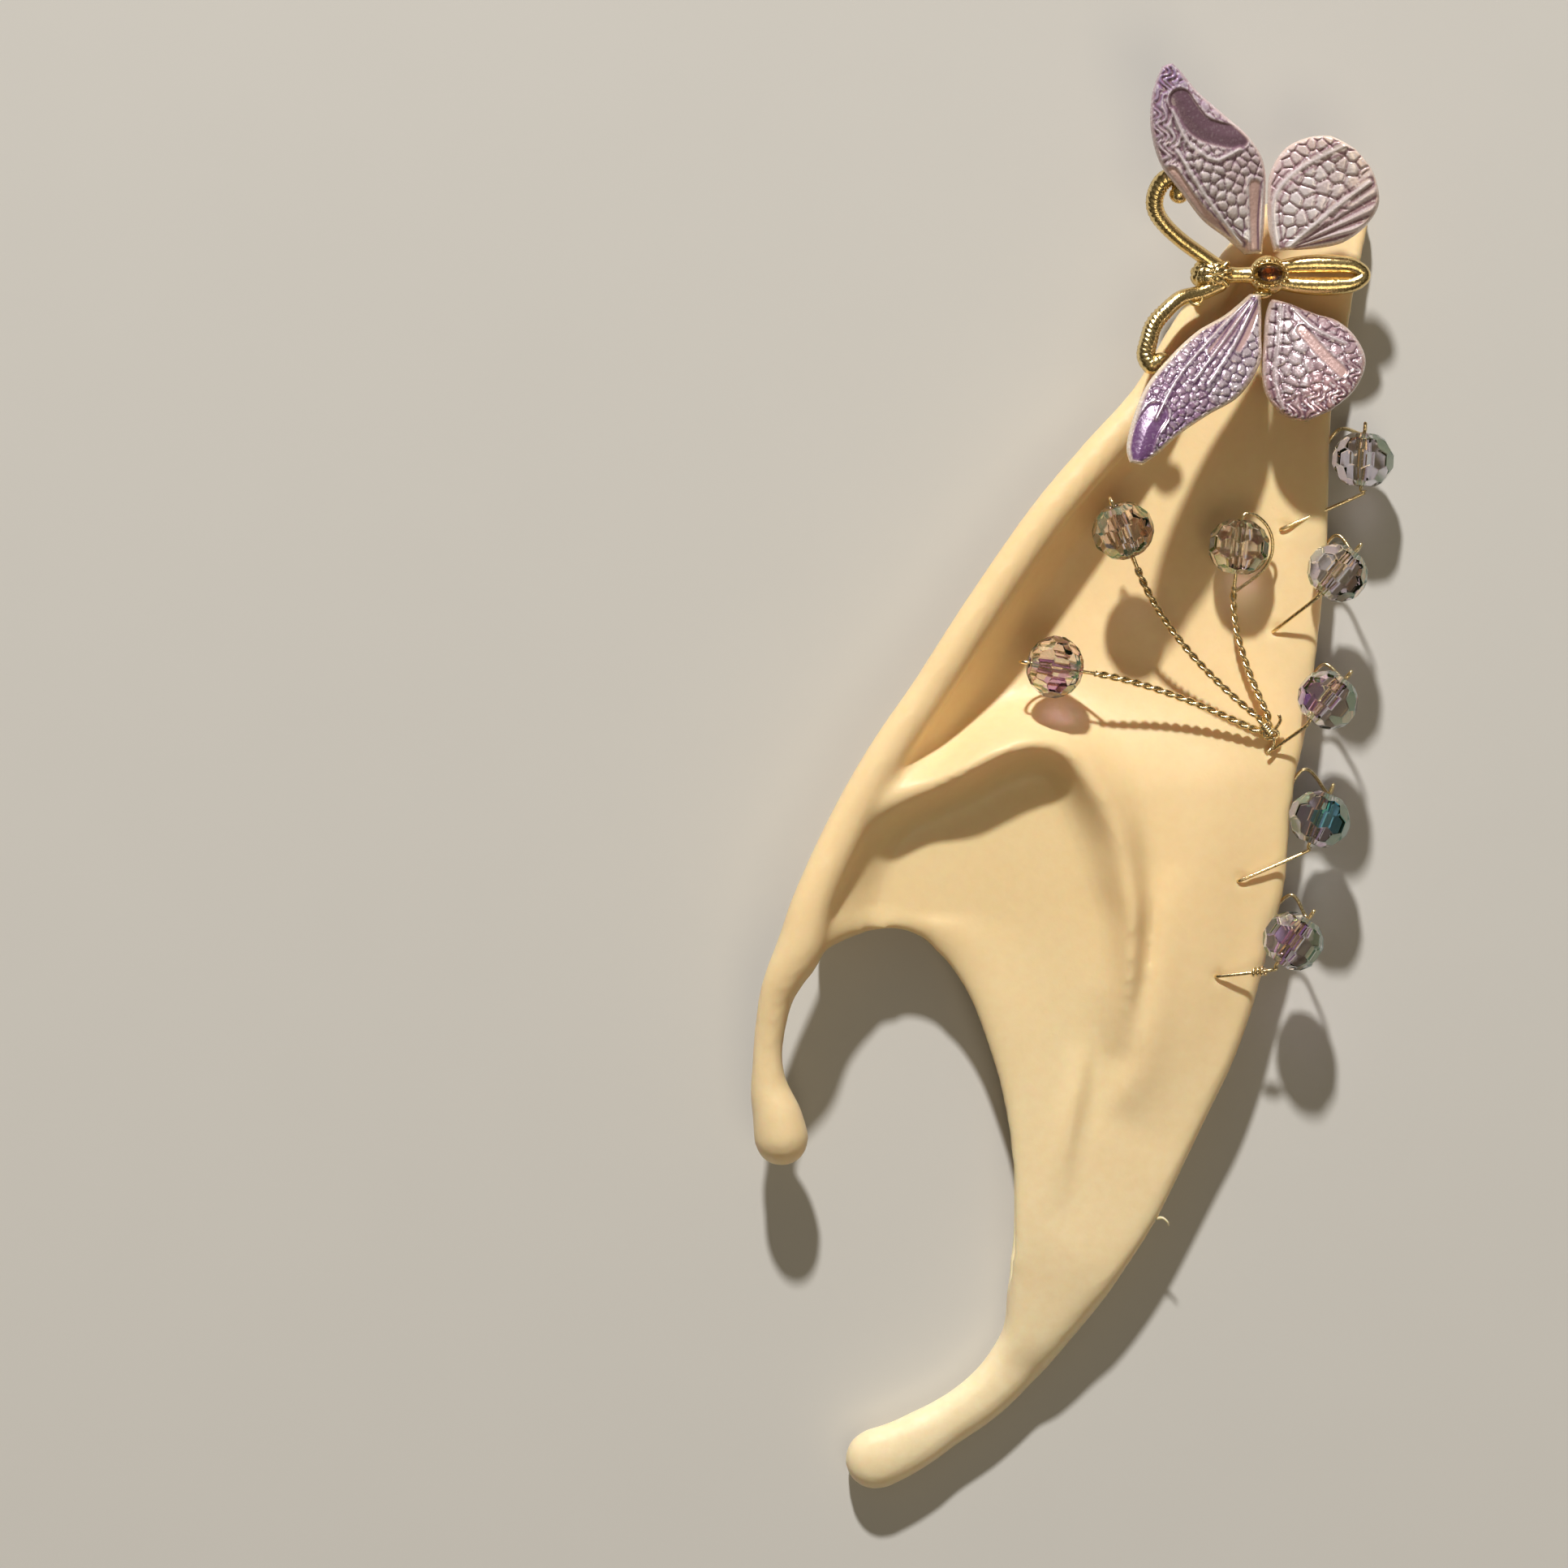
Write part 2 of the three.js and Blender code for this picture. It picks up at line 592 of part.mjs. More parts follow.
function helixSolid() {
  const stations = Array.from({ length: HELIX_RINGS }, (_, i) => helixAt(i / (HELIX_RINGS - 1)));
  return solid(bar(stations, 10));
}

function armSolid() {
  const count = 12;
  const stations = Array.from({ length: count }, (_, i) => {
    const row = sampleTable(ARM, i / (count - 1));
    const height = ARM_RADIUS - ARM_FLAT;
    return {
      centre: new THREE.Vector3(row.x * EAR_WIDTH, row.y * EAR_LENGTH, height),
      radius: row.radius * ARM_RADIUS,
    };
  });
  return solid(bar(stations, 10).scale(1, 1, ARM_SQUASH));
}

function pocketSolid() {
  const columns = 8;
  const rows = 14;
  return solid(pillow(columns, rows, (i, j) => {
    const row = sampleTable(POCKET, j / rows);
    const mouth = new THREE.Vector2(row.mouthX * EAR_WIDTH, row.mouthY * EAR_LENGTH);
    const deep = new THREE.Vector2(row.deepX * EAR_WIDTH, row.deepY * EAR_LENGTH);
    const thick = roundEdge(Math.min(i, columns - i), 1.6) * roundEdge(Math.min(j, rows - j), 1.6);
    const middle = POCKET_REAR_WALL + POCKET_GAP / 2;
    return {
      place: mouth.lerp(deep, i / columns),
      front: middle + (thick * POCKET_GAP) / 2,
      back: middle - (thick * POCKET_GAP) / 2,
    };
  }));
}

// Everything below the surface that the ear lies on.
function floorSolid() {
  const block = new THREE.BoxGeometry(EAR_WIDTH * 2, EAR_LENGTH * 2, EAR_DEPTH);
  return solid(block.translate(EAR_WIDTH / 2, EAR_LENGTH / 2, -EAR_DEPTH / 2));
}

// A faceted round bead with a straight bore along Y.
function beadGeometry() {
  const radius = BEAD_DIAMETER / 2;
  const bore = BEAD_BORE / 2;
  const bands = [-62, -38, -13, 13, 38, 62];
  const profile = bands.map((angle) => {
    const turn = THREE.MathUtils.degToRad(angle);
    return new THREE.Vector2(radius * Math.cos(turn), radius * Math.sin(turn));
  });
  const end = profile.at(-1).y;
  const start = new THREE.Vector2(bore, -end);
  const loop = [start, ...profile, new THREE.Vector2(bore, end), start.clone()];
  return new THREE.LatheGeometry(loop, BEAD_SIDES);
}

// Where each edge bead, its bore and its hole lie.
const EDGE_PLACES = EDGE_BEADS.map((bead, i) => {
  const edge = leafPoint(1, bead.at);
  const inner = leafPoint(0, bead.at).place;
  const outward = edge.place.clone().sub(inner).normalize();
  const way = bead.out * BEAD_DIAMETER;
  const plan = edge.place.clone().addScaledVector(outward, way);
  const reach = BEAD_DIAMETER / 2 + LEAF_WALL / 2 + CLEARANCE;
  const aside = Math.min(way + LEAF_WALL / 2, reach);
  const middle = (edge.front + edge.back) / 2;
  const height = middle + Math.sqrt(reach ** 2 - aside ** 2);
  const lean = THREE.MathUtils.degToRad(bead.tilt);
  const holeEdge = leafPoint(1, bead.hole).place;
  const holeInner = leafPoint(0, bead.hole).place;
  const inward = holeInner.sub(holeEdge).normalize();
  const hole = holeEdge.clone().addScaledVector(inward, bead.inset * BEAD_DIAMETER);
  return {
    name: String(i + 1),
    centre: new THREE.Vector3(plan.x, plan.y, height),
    axis: new THREE.Vector3(Math.sin(lean), Math.cos(lean), 0),
    over: leafPoint(1, bead.over),
    outward,
    hole: leafUnder(hole),
  };
});

const at = (place, height) => new THREE.Vector3(place.x, place.y, height);

// The route of an edge wire: out of its hole, straight to the bead and through it, down
// behind it to the edge, round that and back to the hole from behind.
function edgeWirePoints({ centre, axis, over, outward, hole }) {
  const lay = WIRE_DIAMETER / 2 + CLEARANCE;
  const radius = BEAD_DIAMETER / 2;
  const along = (share) => centre.clone().addScaledVector(axis, share * radius);
  const round = over.place.clone().addScaledVector(outward, WIRE_DIAMETER + CLEARANCE);
  const back = along(0.9).setZ(centre.z - radius * 0.9);
  const behind = leafUnder(hole.place.clone().lerp(round, 0.5));
  const depth = LEAF_WALL * 0.3;
  return [
    at(hole.place, hole.front - depth),
    at(hole.place, hole.front + lay * 0.6),
    along(-1.15),
    along(-0.95),
    along(0.95),
    along(1.2),
    back,
    at(round, (over.front + over.back) / 2),
    at(behind.place, behind.back - lay),
    at(hole.place, hole.back - lay * 0.6),
    at(hole.place, hole.back + depth),
  ];
}

// The hub of the stalks: a coil knot on a pin through the leaf, bound towards their ends.
const HUB_LEAF = leafUnder(new THREE.Vector2(HUB.x * EAR_WIDTH, HUB.y * EAR_LENGTH));
const KNOT_HEIGHT = HUB_LEAF.front + CLEARANCE * 2 + TWIST_DIAMETER / 2;

function hubPinPoints() {
  const lay = WIRE_DIAMETER / 2 + CLEARANCE;
  const reach = KNOT_DIAMETER;
  return [
    new THREE.Vector3(reach * 0.5, reach * 0.6, KNOT_HEIGHT + lay),
    new THREE.Vector3(reach * 0.25, reach * 0.3, KNOT_HEIGHT + lay * 0.5),
    new THREE.Vector3(0, 0, KNOT_HEIGHT),
    new THREE.Vector3(0, 0, HUB_LEAF.front),
    new THREE.Vector3(0, 0, HUB_LEAF.back),
    new THREE.Vector3(-reach * 0.2, 0, HUB_LEAF.back - lay * 1.4),
    new THREE.Vector3(-reach, reach * 0.2, HUB_LEAF.back - lay * 1.6),
  ].map((point) => point.add(at(HUB_LEAF.place, 0)));
}

// The bead of a stalk, the stalk's curve and the way that it reaches the bead.
const SPRAY_PLACES = SPRAYS.map(({ name, x, y, rise, bow, roll }) => {
  const plan = new THREE.Vector2(x * EAR_WIDTH, y * EAR_LENGTH);
  const centre = at(plan, leafUnder(plan).front + rise * BEAD_DIAMETER);
  const way = plan.clone().sub(HUB_LEAF.place);
  const bend = new THREE.Vector2(way.y, -way.x).normalize().multiplyScalar(bow * BEAD_DIAMETER);
  const start = HUB_LEAF.place.clone().addScaledVector(way.clone().normalize(), KNOT_DIAMETER);
  const middle = start.clone().lerp(plan, 0.5).sub(bend.multiplyScalar(2));
  const height = leafUnder(middle).front + (rise * BEAD_DIAMETER) * 0.55;
  const control = at(middle, height);
  const towards = control.clone().sub(centre).normalize();
  const join = centre.clone().addScaledVector(towards, BEAD_DIAMETER / 2 + TWIST_DIAMETER * 1.6);
  const aside = towards.clone().cross(new THREE.Vector3(0, 0, 1)).normalize();
  const side = aside.applyAxisAngle(towards, THREE.MathUtils.degToRad(roll));
  return { name, centre, towards, side, control, join, start: at(start, KNOT_HEIGHT + CLEARANCE) };
});

// A stalk: the twisted pair up to the bead, and one strand through it and back round it.
function stalkGeometry({ centre, towards, side, control, join, start }) {
  const curve = new THREE.QuadraticBezierCurve3(start, control, join);
  const stalk = solid(wire(curve.getPoints(8), TWIST_DIAMETER, TWIST_SIDES, 1));
  const radius = BEAD_DIAMETER / 2;
  const past = radius + CLEARANCE + WIRE_DIAMETER;
  const strand = [join.clone()];
  for (const share of [1.25, 0.95, -0.95, -1.1]) {
    strand.push(centre.clone().addScaledVector(towards, share * radius));
  }
  for (const angle of [150, 115, 80, 45]) {
    const turn = THREE.MathUtils.degToRad(angle);
    const point = centre.clone().addScaledVector(towards, past * Math.cos(turn));
    strand.push(point.addScaledVector(side, past * Math.sin(turn)));
  }
  strand.push(join.clone().addScaledVector(towards, TWIST_DIAMETER / 2));
  const loop = solid(wire(strand, WIRE_DIAMETER, WIRE_SIDES, WIRE_STEPS));
  return geometryOf(stalk.add(loop));
}

// The butterfly rides just clear of the rolled rim under its head.
const helixRows = Array.from({ length: HELIX_RINGS }, (_, i) => helixAt(i / (HELIX_RINGS - 1)));
const headRim = helixRows.reduce((best, ring) => {
  const off = Math.abs(ring.centre.y - THORAX.y * EAR_LENGTH);
  return off < best.off ? { off, top: ring.centre.z + ring.radius } : best;
}, { off: Infinity, top: 0 });
const BODY_HEIGHT = headRim.top + CLEARANCE + HEAD_DIAMETER / 2;
const THORAX_PLACE = new THREE.Vector2(THORAX.x * EAR_WIDTH, THORAX.y * EAR_LENGTH);
const THORAX_POINT = at(THORAX_PLACE, BODY_HEIGHT);

// A point in shares of the butterfly's span from its thorax.
const onSpan = (x, y, rise) => {
  return new THREE.Vector3(x, y, rise).multiplyScalar(BUTTERFLY_SPAN).add(THORAX_POINT);
};

function wingGeometry(rows) {
  const columns = 6;
  const steps = 9;
  return pillow(columns, steps, (i, j) => {
    const row = sampleTable(rows, j / steps);
    const lead = onSpan(row.leadX, row.leadY, row.rise);
    const trail = onSpan(row.trailX, row.trailY, row.rise);
    const u = 0.5 - 0.5 * Math.cos((i / columns) * Math.PI);
    const thick = roundEdge(Math.min(i, columns - i), 2) * roundEdge(Math.min(j, steps - j), 1.6);
    const crown = 4 * u * (1 - u) * WING_THICKNESS * 0.6;
    const point = lead.lerp(trail, u);
    return {
      place: new THREE.Vector2(point.x, point.y),
      front: point.z + crown + (thick * WING_THICKNESS) / 2,
      back: point.z + crown - (thick * WING_THICKNESS) / 2,
    };
  });
}

// Half the height from the thorax's middle to the seat of the stone.
const SEAT_RISE = THORAX_DIAMETER * 0.3;

function frameGeometry() {
  const head = new THREE.SphereGeometry(HEAD_DIAMETER / 2, 10, 7);
  head.scale(1.25, 1, 1).translate(...onSpan(-HEAD_WAY, 0, 0).toArray());
  const thorax = new THREE.SphereGeometry(THORAX_DIAMETER / 2, 10, 7);
  thorax.scale(1, 1, 0.62).translate(...THORAX_POINT.toArray());
  const bezelHeight = SEAT_RISE + STONE_WIDTH * 0.2;
  const bezel = new THREE.CylinderGeometry(1, 1, bezelHeight, 12).rotateX(Math.PI / 2);
  bezel.scale(STONE_LENGTH / 2 + BEZEL_WALL, STONE_WIDTH / 2 + BEZEL_WALL, 1);
  bezel.translate(THORAX_POINT.x, THORAX_POINT.y, THORAX_POINT.z + bezelHeight / 2);
  const seat = new THREE.CylinderGeometry(1, 1, STONE_WIDTH, 12).rotateX(Math.PI / 2);
  seat.scale(STONE_LENGTH / 2 + CLEARANCE / 2, STONE_WIDTH / 2 + CLEARANCE / 2, 1);
  seat.translate(THORAX_POINT.x, THORAX_POINT.y, THORAX_POINT.z + SEAT_RISE + STONE_WIDTH / 2);
  const pegRing = new THREE.Path().absarc(0, 0, PEG_DIAMETER / 2, 0, 2 * Math.PI).getPoints(12);
  const pegFaces = pegRing.map((point) => leafUnder(point.add(THORAX_PLACE)).front);
  const pegFoot = Math.max(...pegFaces) + CLEARANCE;
  const pegHeight = THORAX_POINT.z - pegFoot;
  const peg = new THREE.CylinderGeometry(PEG_DIAMETER / 2, PEG_DIAMETER / 2, pegHeight, 12);
  peg.rotateX(Math.PI / 2).translate(THORAX_POINT.x, THORAX_POINT.y, pegFoot + pegHeight / 2);
  const spine = [onSpan(-HEAD_WAY, 0, 0), onSpan(-HEAD_WAY / 2, 0, 0), onSpan(0, 0, 0)];
  const neck = wire(spine, HEAD_DIAMETER * 0.6, 8, 1);
  const antennae = ANTENNAE.map((rows) => {
    const stations = Array.from({ length: 15 }, (_, i) => {
      const row = sampleTable(rows, i / 14);
      return { centre: onSpan(row.x, row.y, row.rise), radius: ANTENNA_DIAMETER / 2 };
    });
    return bar(stations, 6);
  });
  const pieces = [head, thorax, bezel, peg, neck, abdomenGeometry(), ...antennae].map(solid);
  return geometryOf(joined(pieces).subtract(solid(seat)));
}

// The abdomen: one bar out, round and back.
function abdomenGeometry() {
  const half = (ABDOMEN_BAR + ABDOMEN_SLOT) / 2;
  const start = THORAX_DIAMETER * 0.3;
  const end = THORAX_DIAMETER / 2 + ABDOMEN_LENGTH - half - ABDOMEN_BAR / 2;
  const turn = [-90, -60, -30, 0, 30, 60, 90].map((angle) => {
    const radians = THREE.MathUtils.degToRad(angle);
    return [end + half * Math.cos(radians), half * Math.sin(radians)];
  });
  const route = [[start, -half], ...turn, [start, half]];
  const stations = route.map(([x, y]) => {
    const centre = new THREE.Vector3(x, y, 0).add(THORAX_POINT);
    return { centre, radius: ABDOMEN_BAR / 2 };
  });
  return bar(stations, 8);
}

function stoneGeometry() {
  const half = STONE_WIDTH / 2;
  const profile = [[0, -0.6], [0.6, -0.35], [1, 0], [0.72, 0.35], [0, 0.42]].map(([r, z]) => {
    return new THREE.Vector2(r, z * half);
  });
  const stone = new THREE.LatheGeometry(profile, 10).rotateX(Math.PI / 2);
  return stone.scale(STONE_LENGTH / 2 - CLEARANCE / 2, half - CLEARANCE / 2, 1);
}

// Finishes, and a named mesh of one.
const finish = (color, roughness, metalness) => {
  return new THREE.MeshStandardMaterial({ color, roughness, metalness });
};
const LATEX = [0xeccf9b, 0.55, 0];
const GOLD = [0xcba24a, 0.25, 1];
const CRYSTAL = [0xd9cfd8, 0.05, 0];
const AMBER = [0x4a2d10, 0.08, 0];
const VIOLET = [0x8f6aa0, 0.18, 0];
const PINK = [0xc09aa4, 0.18, 0];

function piece(name, geometry, [color, roughness, metalness]) {
  const mesh = new THREE.Mesh(geometry, finish(color, roughness, metalness));
  mesh.name = name;
  return mesh;
}

// The ear: leaf, rim and arm in one, less the pocket, the pierced holes and the wires' room.
function earShell() {
  const body = joined([leafSolid(), helixSolid(), armSolid()]);
  const room = WIRE_DIAMETER + 2 * CLEARANCE;
  const routes = [...EDGE_PLACES.map(edgeWirePoints), hubPinPoints()];
  const grooves = routes.map((points) => solid(wire(points, room, WIRE_SIDES, WIRE_STEPS)));
  const holes = [...EDGE_PLACES.map(({ hole }) => hole), HUB_LEAF].map((hole) => {
    const length = LEAF_WALL * 2;
    const drill = new THREE.CylinderGeometry(PIERCE_DIAMETER / 2, PIERCE_DIAMETER / 2, length, 8);
    drill.rotateX(Math.PI / 2);
    return solid(drill.translate(...at(hole.place, (hole.front + hole.back) / 2).toArray()));
  });
  const cuts = joined([pocketSolid(), floorSolid(), ...grooves, ...holes]);
  return piece('ear_shell', geometryOf(body.subtract(cuts)), LATEX);
}

function bead(name, centre, axis) {
  const mesh = piece(name, beadGeometry(), CRYSTAL);
  mesh.quaternion.setFromUnitVectors(new THREE.Vector3(0, 1, 0), axis);
  mesh.position.copy(centre);
  return mesh;
}

function edgeTrim() {
  return EDGE_PLACES.flatMap((place) => [
    bead(`edge_bead_${place.name}`, place.centre, place.axis),
    piece(
      `edge_wire_${place.name}`,
      wire(edgeWirePoints(place), WIRE_DIAMETER, WIRE_SIDES, WIRE_STEPS),
      GOLD,
    ),
  ]);
}

function spray() {
  const knot = new THREE.TorusGeometry(KNOT_DIAMETER / 2 - WIRE_DIAMETER, WIRE_DIAMETER * 0.8, 5, 9);
  knot.translate(...at(HUB_LEAF.place, KNOT_HEIGHT).toArray());
  const pin = wire(hubPinPoints(), WIRE_DIAMETER, WIRE_SIDES, WIRE_STEPS);
  const starts = SPRAY_PLACES.reduce((sum, { start }) => sum.add(start), new THREE.Vector3());
  const bundle = starts.divideScalar(SPRAY_PLACES.length);
  const binding = bar([0, 0.68].map((share) => {
    const centre = at(HUB_LEAF.place, KNOT_HEIGHT).lerp(bundle, share);
    return { centre, radius: KNOT_DIAMETER * 0.29 };
  }), 6);
  const hub = piece('spray_hub', geometryOf(joined([knot, pin, binding].map(solid))), GOLD);
  const stalks = SPRAY_PLACES.flatMap((place) => [
    bead(`spray_bead_${place.name}`, place.centre, place.towards),
    piece(`spray_wire_${place.name}`, stalkGeometry(place), GOLD),
  ]);
  return [hub, ...stalks];
}

function butterfly() {
  const stone = piece('thorax_stone', stoneGeometry(), AMBER);
  stone.position.copy(THORAX_POINT);
  stone.position.z += SEAT_RISE + CLEARANCE + STONE_WIDTH * 0.3;
  const wings = Object.entries(WINGS).map(([name, rows]) => {
    return piece(name, wingGeometry(rows), name.startsWith('fore') ? VIOLET : PINK);
  });
  return [piece('butterfly_frame', frameGeometry(), GOLD), stone, ...wings];
}

const ear = new THREE.Group();
ear.add(earShell(), ...edgeTrim(), ...spray(), ...butterfly());

// The origin at the bottom centre of the bounding box.
const box = new THREE.Box3().setFromObject(ear, true);
const centre = box.getCenter(new THREE.Vector3());
ear.position.set(-centre.x, -centre.y, -box.min.z);

const elfEar = new THREE.Group();
elfEar.add(ear);

export default elfEar;
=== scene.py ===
"""Looks of the elf ear tip: a latex ear with a gold butterfly, wired beads and stalks.

Tables hold shares of the named sizes, as in the part's source. Shapes are worked out in
millimetres on the ear's own plan and placed in metres in the part's frame.
"""

import logging
import math
from dataclasses import dataclass, field
from enum import Enum
from typing import Callable

import bmesh
import bpy
import numpy as np
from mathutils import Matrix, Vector


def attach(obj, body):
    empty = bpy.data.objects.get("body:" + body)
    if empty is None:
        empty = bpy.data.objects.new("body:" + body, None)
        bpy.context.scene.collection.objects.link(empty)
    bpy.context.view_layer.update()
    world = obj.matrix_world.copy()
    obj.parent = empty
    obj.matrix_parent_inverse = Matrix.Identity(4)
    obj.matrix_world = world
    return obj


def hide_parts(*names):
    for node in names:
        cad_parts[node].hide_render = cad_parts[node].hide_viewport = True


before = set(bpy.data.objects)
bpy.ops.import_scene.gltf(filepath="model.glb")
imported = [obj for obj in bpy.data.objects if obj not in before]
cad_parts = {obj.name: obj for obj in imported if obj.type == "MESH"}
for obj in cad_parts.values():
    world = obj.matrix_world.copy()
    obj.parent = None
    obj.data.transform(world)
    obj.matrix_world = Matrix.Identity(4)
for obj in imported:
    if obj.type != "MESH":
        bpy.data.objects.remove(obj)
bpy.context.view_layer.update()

LOG = logging.getLogger("elf_ear")
MM = 0.001
PLAN_ORIGIN = np.array([42.187, 93.148, 0.0])
UP = np.array([0.0, 0.0, 1.0])
Array = np.ndarray
Colour = tuple[float, float, float]


# Maths on tables and curves.


@dataclass(frozen=True)
class Table:
    """Rows of named numbers that are read smoothly between the rows."""

    columns: tuple[str, ...]
    rows: Array

    def at(self, share: Array | float) -> dict[str, Array]:
        """Reads every column share of the way through the rows.

        Args:
            share: One share from 0 to 1, or an array of them.

        Returns:
            The columns by name, each as long as share.
        """
        values = spline(self.rows, np.atleast_1d(np.asarray(share, float)))
        return {name: values[:, i] for i, name in enumerate(self.columns)}


def spline(rows: Array, share: Array) -> Array:
    """Reads a table of numbers as Catmull-Rom curves with equal steps.

    Args:
        rows: The rows to read, one curve a column.
        share: Shares from 0 to 1 of the way through the rows.

    Returns:
        One row of values for each share.
    """
    place = np.clip(share, 0, 1) * (len(rows) - 1)
    index = np.minimum(place.astype(int), len(rows) - 2)
    t = (place - index)[:, None]
    a, b, c, d = (rows[np.clip(index + step, 0, len(rows) - 1)] for step in (-1, 0, 1, 2))
    bend = (2 * a - 5 * b + 4 * c - d) * t**2 + (3 * b - a - 3 * c + d) * t**3
    return 0.5 * (2 * b + (c - a) * t + bend)


def smooth_step(low: float | Array, high: float | Array, value: Array) -> Array:
    """Rises smoothly from 0 at low to 1 at high."""
    t = np.clip((value - low) / (high - low), 0, 1)
    return t * t * (3 - 2 * t)


def quarter_round(distance: Array, radius: Array | float) -> Array:
    """Rises as a quarter circle from 0 at an edge to 1 at radius in from it."""
    share = np.clip(distance / radius, 0, 1)
    return np.sqrt(1 - (1 - share) ** 2)


def unit(vector: Array) -> Array:
    """The same direction at length one."""
    return vector / np.linalg.norm(vector)


def line_distance(places: Array, line: Array) -> Array:
    """How far places lie from a line of points, in the units of both."""
    nearest = np.full(places.shape[:-1], np.inf)
    for start, finish in zip(line[:-1], line[1:]):
        along, reach = finish - start, places - start
        t = np.clip(reach @ along / (along @ along), 0, 1)
        nearest = np.minimum(nearest, np.linalg.norm(reach - t[..., None] * along, axis=-1))
    return nearest


def resample(points: Array, step: float) -> Array:
    """Lays points along a smooth curve at equal steps of length.

    Args:
        points: The points that the curve goes through.
        step: The length of a step in millimetres.

    Returns:
        The new points, ends included.
    """
    dense = spline(points, np.linspace(0, 1, len(points) * 24))
    length = np.concatenate([[0], np.cumsum(np.linalg.norm(np.diff(dense, axis=0), axis=1))])
    count = max(int(length[-1] / step), 4)
    wanted = np.linspace(0, length[-1], count)
    return np.stack([np.interp(wanted, length, dense[:, i]) for i in range(3)], axis=1)


def carried_frames(points: Array) -> tuple[Array, Array, Array]:
    """Turns a frame along a route without twist.

    Args:
        points: The points of the route.

    Returns:
        The way along, the side and the out direction at each point.
    """
    along = np.gradient(points, axis=0)
    along /= np.linalg.norm(along, axis=1)[:, None]
    start = np.cross(along[0], UP)
    if np.linalg.norm(start) < 0.1:
        start = np.cross(along[0], [0.0, 1.0, 0.0])
    sides = [unit(start)]
    for way in along[1:]:
        sides.append(unit(sides[-1] - way * np.dot(sides[-1], way)))
    side = np.array(sides)
    return along, side, np.cross(side, along)


@dataclass
class Mould:
    """Points and faces of one closed mesh in millimetres."""

    points: Array
    faces: list[tuple[int, ...]]
    tints: dict[str, Array] = field(default_factory=dict)

    def joined(self, other: "Mould") -> "Mould":
        """This mesh and another as one, without sharing points."""
        shift = len(self.points)
        faces = self.faces + [tuple(k + shift for k in face) for face in other.faces]
        tints = {
            name: np.concatenate([values, other.tints.get(name, np.zeros(len(other.points)))])
            for name, values in self.tints.items()
        }
        return Mould(np.concatenate([self.points, other.points]), faces, tints)


def all_joined(moulds: list[Mould]) -> Mould:
    """Several meshes as one."""
    whole = moulds[0]
    for mould in moulds[1:]:
        whole = whole.joined(mould)
    return whole


def tube(
    points: Array,
    radius: Array | float,
    sides: int,
    relief: Callable[[Array, Array], Array] | None = None,
    domed: bool = True,
) -> Mould:
    """Sweeps a round section along points.

    Args:
        points: The centre of each ring.
        radius: The radius of each ring, or one for all.
        sides: The number of points of a ring.
        relief: Gives what to add to the radius from the share along and the turn round.
        domed: Closes the ends with domes, not with flat caps.

    Returns:
        The closed tube.
    """
    radii = np.broadcast_to(np.asarray(radius, float), (len(points),)).copy()
    along, side, out = carried_frames(points)
    centres = list(points)
    ring_radii = list(radii)
    shares = list(np.linspace(0, 1, len(points)))
    frames = list(zip(side, out))
    domes = [72, 50, 28] if domed else []
    for angle in reversed(domes):
        turn = math.radians(angle)
        centres.insert(0, points[0] - along[0] * radii[0] * math.sin(turn))
        ring_radii.insert(0, radii[0] * math.cos(turn))
        shares.insert(0, 0.0)
        frames.insert(0, (side[0], out[0]))
        centres.append(points[-1] + along[-1] * radii[-1] * math.sin(turn))
        ring_radii.append(radii[-1] * math.cos(turn))
        shares.append(1.0)
        frames.append((side[-1], out[-1]))
    turns = np.linspace(0, 2 * math.pi, sides, endpoint=False)
    rings = []
    for centre, ring_radius, share, (across, away) in zip(centres, ring_radii, shares, frames):
        reach = np.full(sides, ring_radius)
        if relief is not None:
            reach = reach + relief(np.full(sides, share), turns)
        ring = np.outer(reach * np.cos(turns), across) + np.outer(reach * np.sin(turns), away)
        rings.append(centre + ring)
    verts = np.concatenate(rings)
    dome = 1.0 if domed else 0.0
    tips = np.array([points[0] - along[0] * radii[0] * dome, points[-1] + along[-1] * radii[-1] * dome])
    faces: list[tuple[int, ...]] = []
    for j in range(len(rings) - 1):
        for k in range(sides):
            a, b = j * sides + k, j * sides + (k + 1) % sides
            faces.append((a, a + sides, b + sides, b))
    first, last = len(verts), (len(rings) - 1) * sides
    for k in range(sides):
        follow = (k + 1) % sides
        faces.append((first, k, follow))
        faces.append((first + 1, last + follow, last + k))
    return Mould(np.concatenate([verts, tips]), faces)


def sheet(front: Array, back: Array) -> Mould:
    """Closes a face and a back that share their border.

    Args:
        front: A grid of points, rows by columns by three.
        back: The grid behind it, whose border is the same.

    Returns:
        The closed sheet.
    """
    rows, columns = front.shape[:2]
    face_index = np.arange(rows * columns).reshape(rows, columns)
    inner = np.zeros((rows, columns), bool)
    inner[1:-1, 1:-1] = True
    back_index = face_index.copy()
    back_index[inner] = rows * columns + np.arange(inner.sum())
    faces = []
    for index, flip in ((face_index, False), (back_index, True)):
        a, b = index[:-1, :-1].ravel(), index[:-1, 1:].ravel()
        c, d = index[1:, 1:].ravel(), index[1:, :-1].ravel()
        corners = (a, b, c, d) if flip else (a, d, c, b)
        faces += list(zip(*(corner.tolist() for corner in corners)))
    return Mould(np.concatenate([front.reshape(-1, 3), back[inner]]), faces)


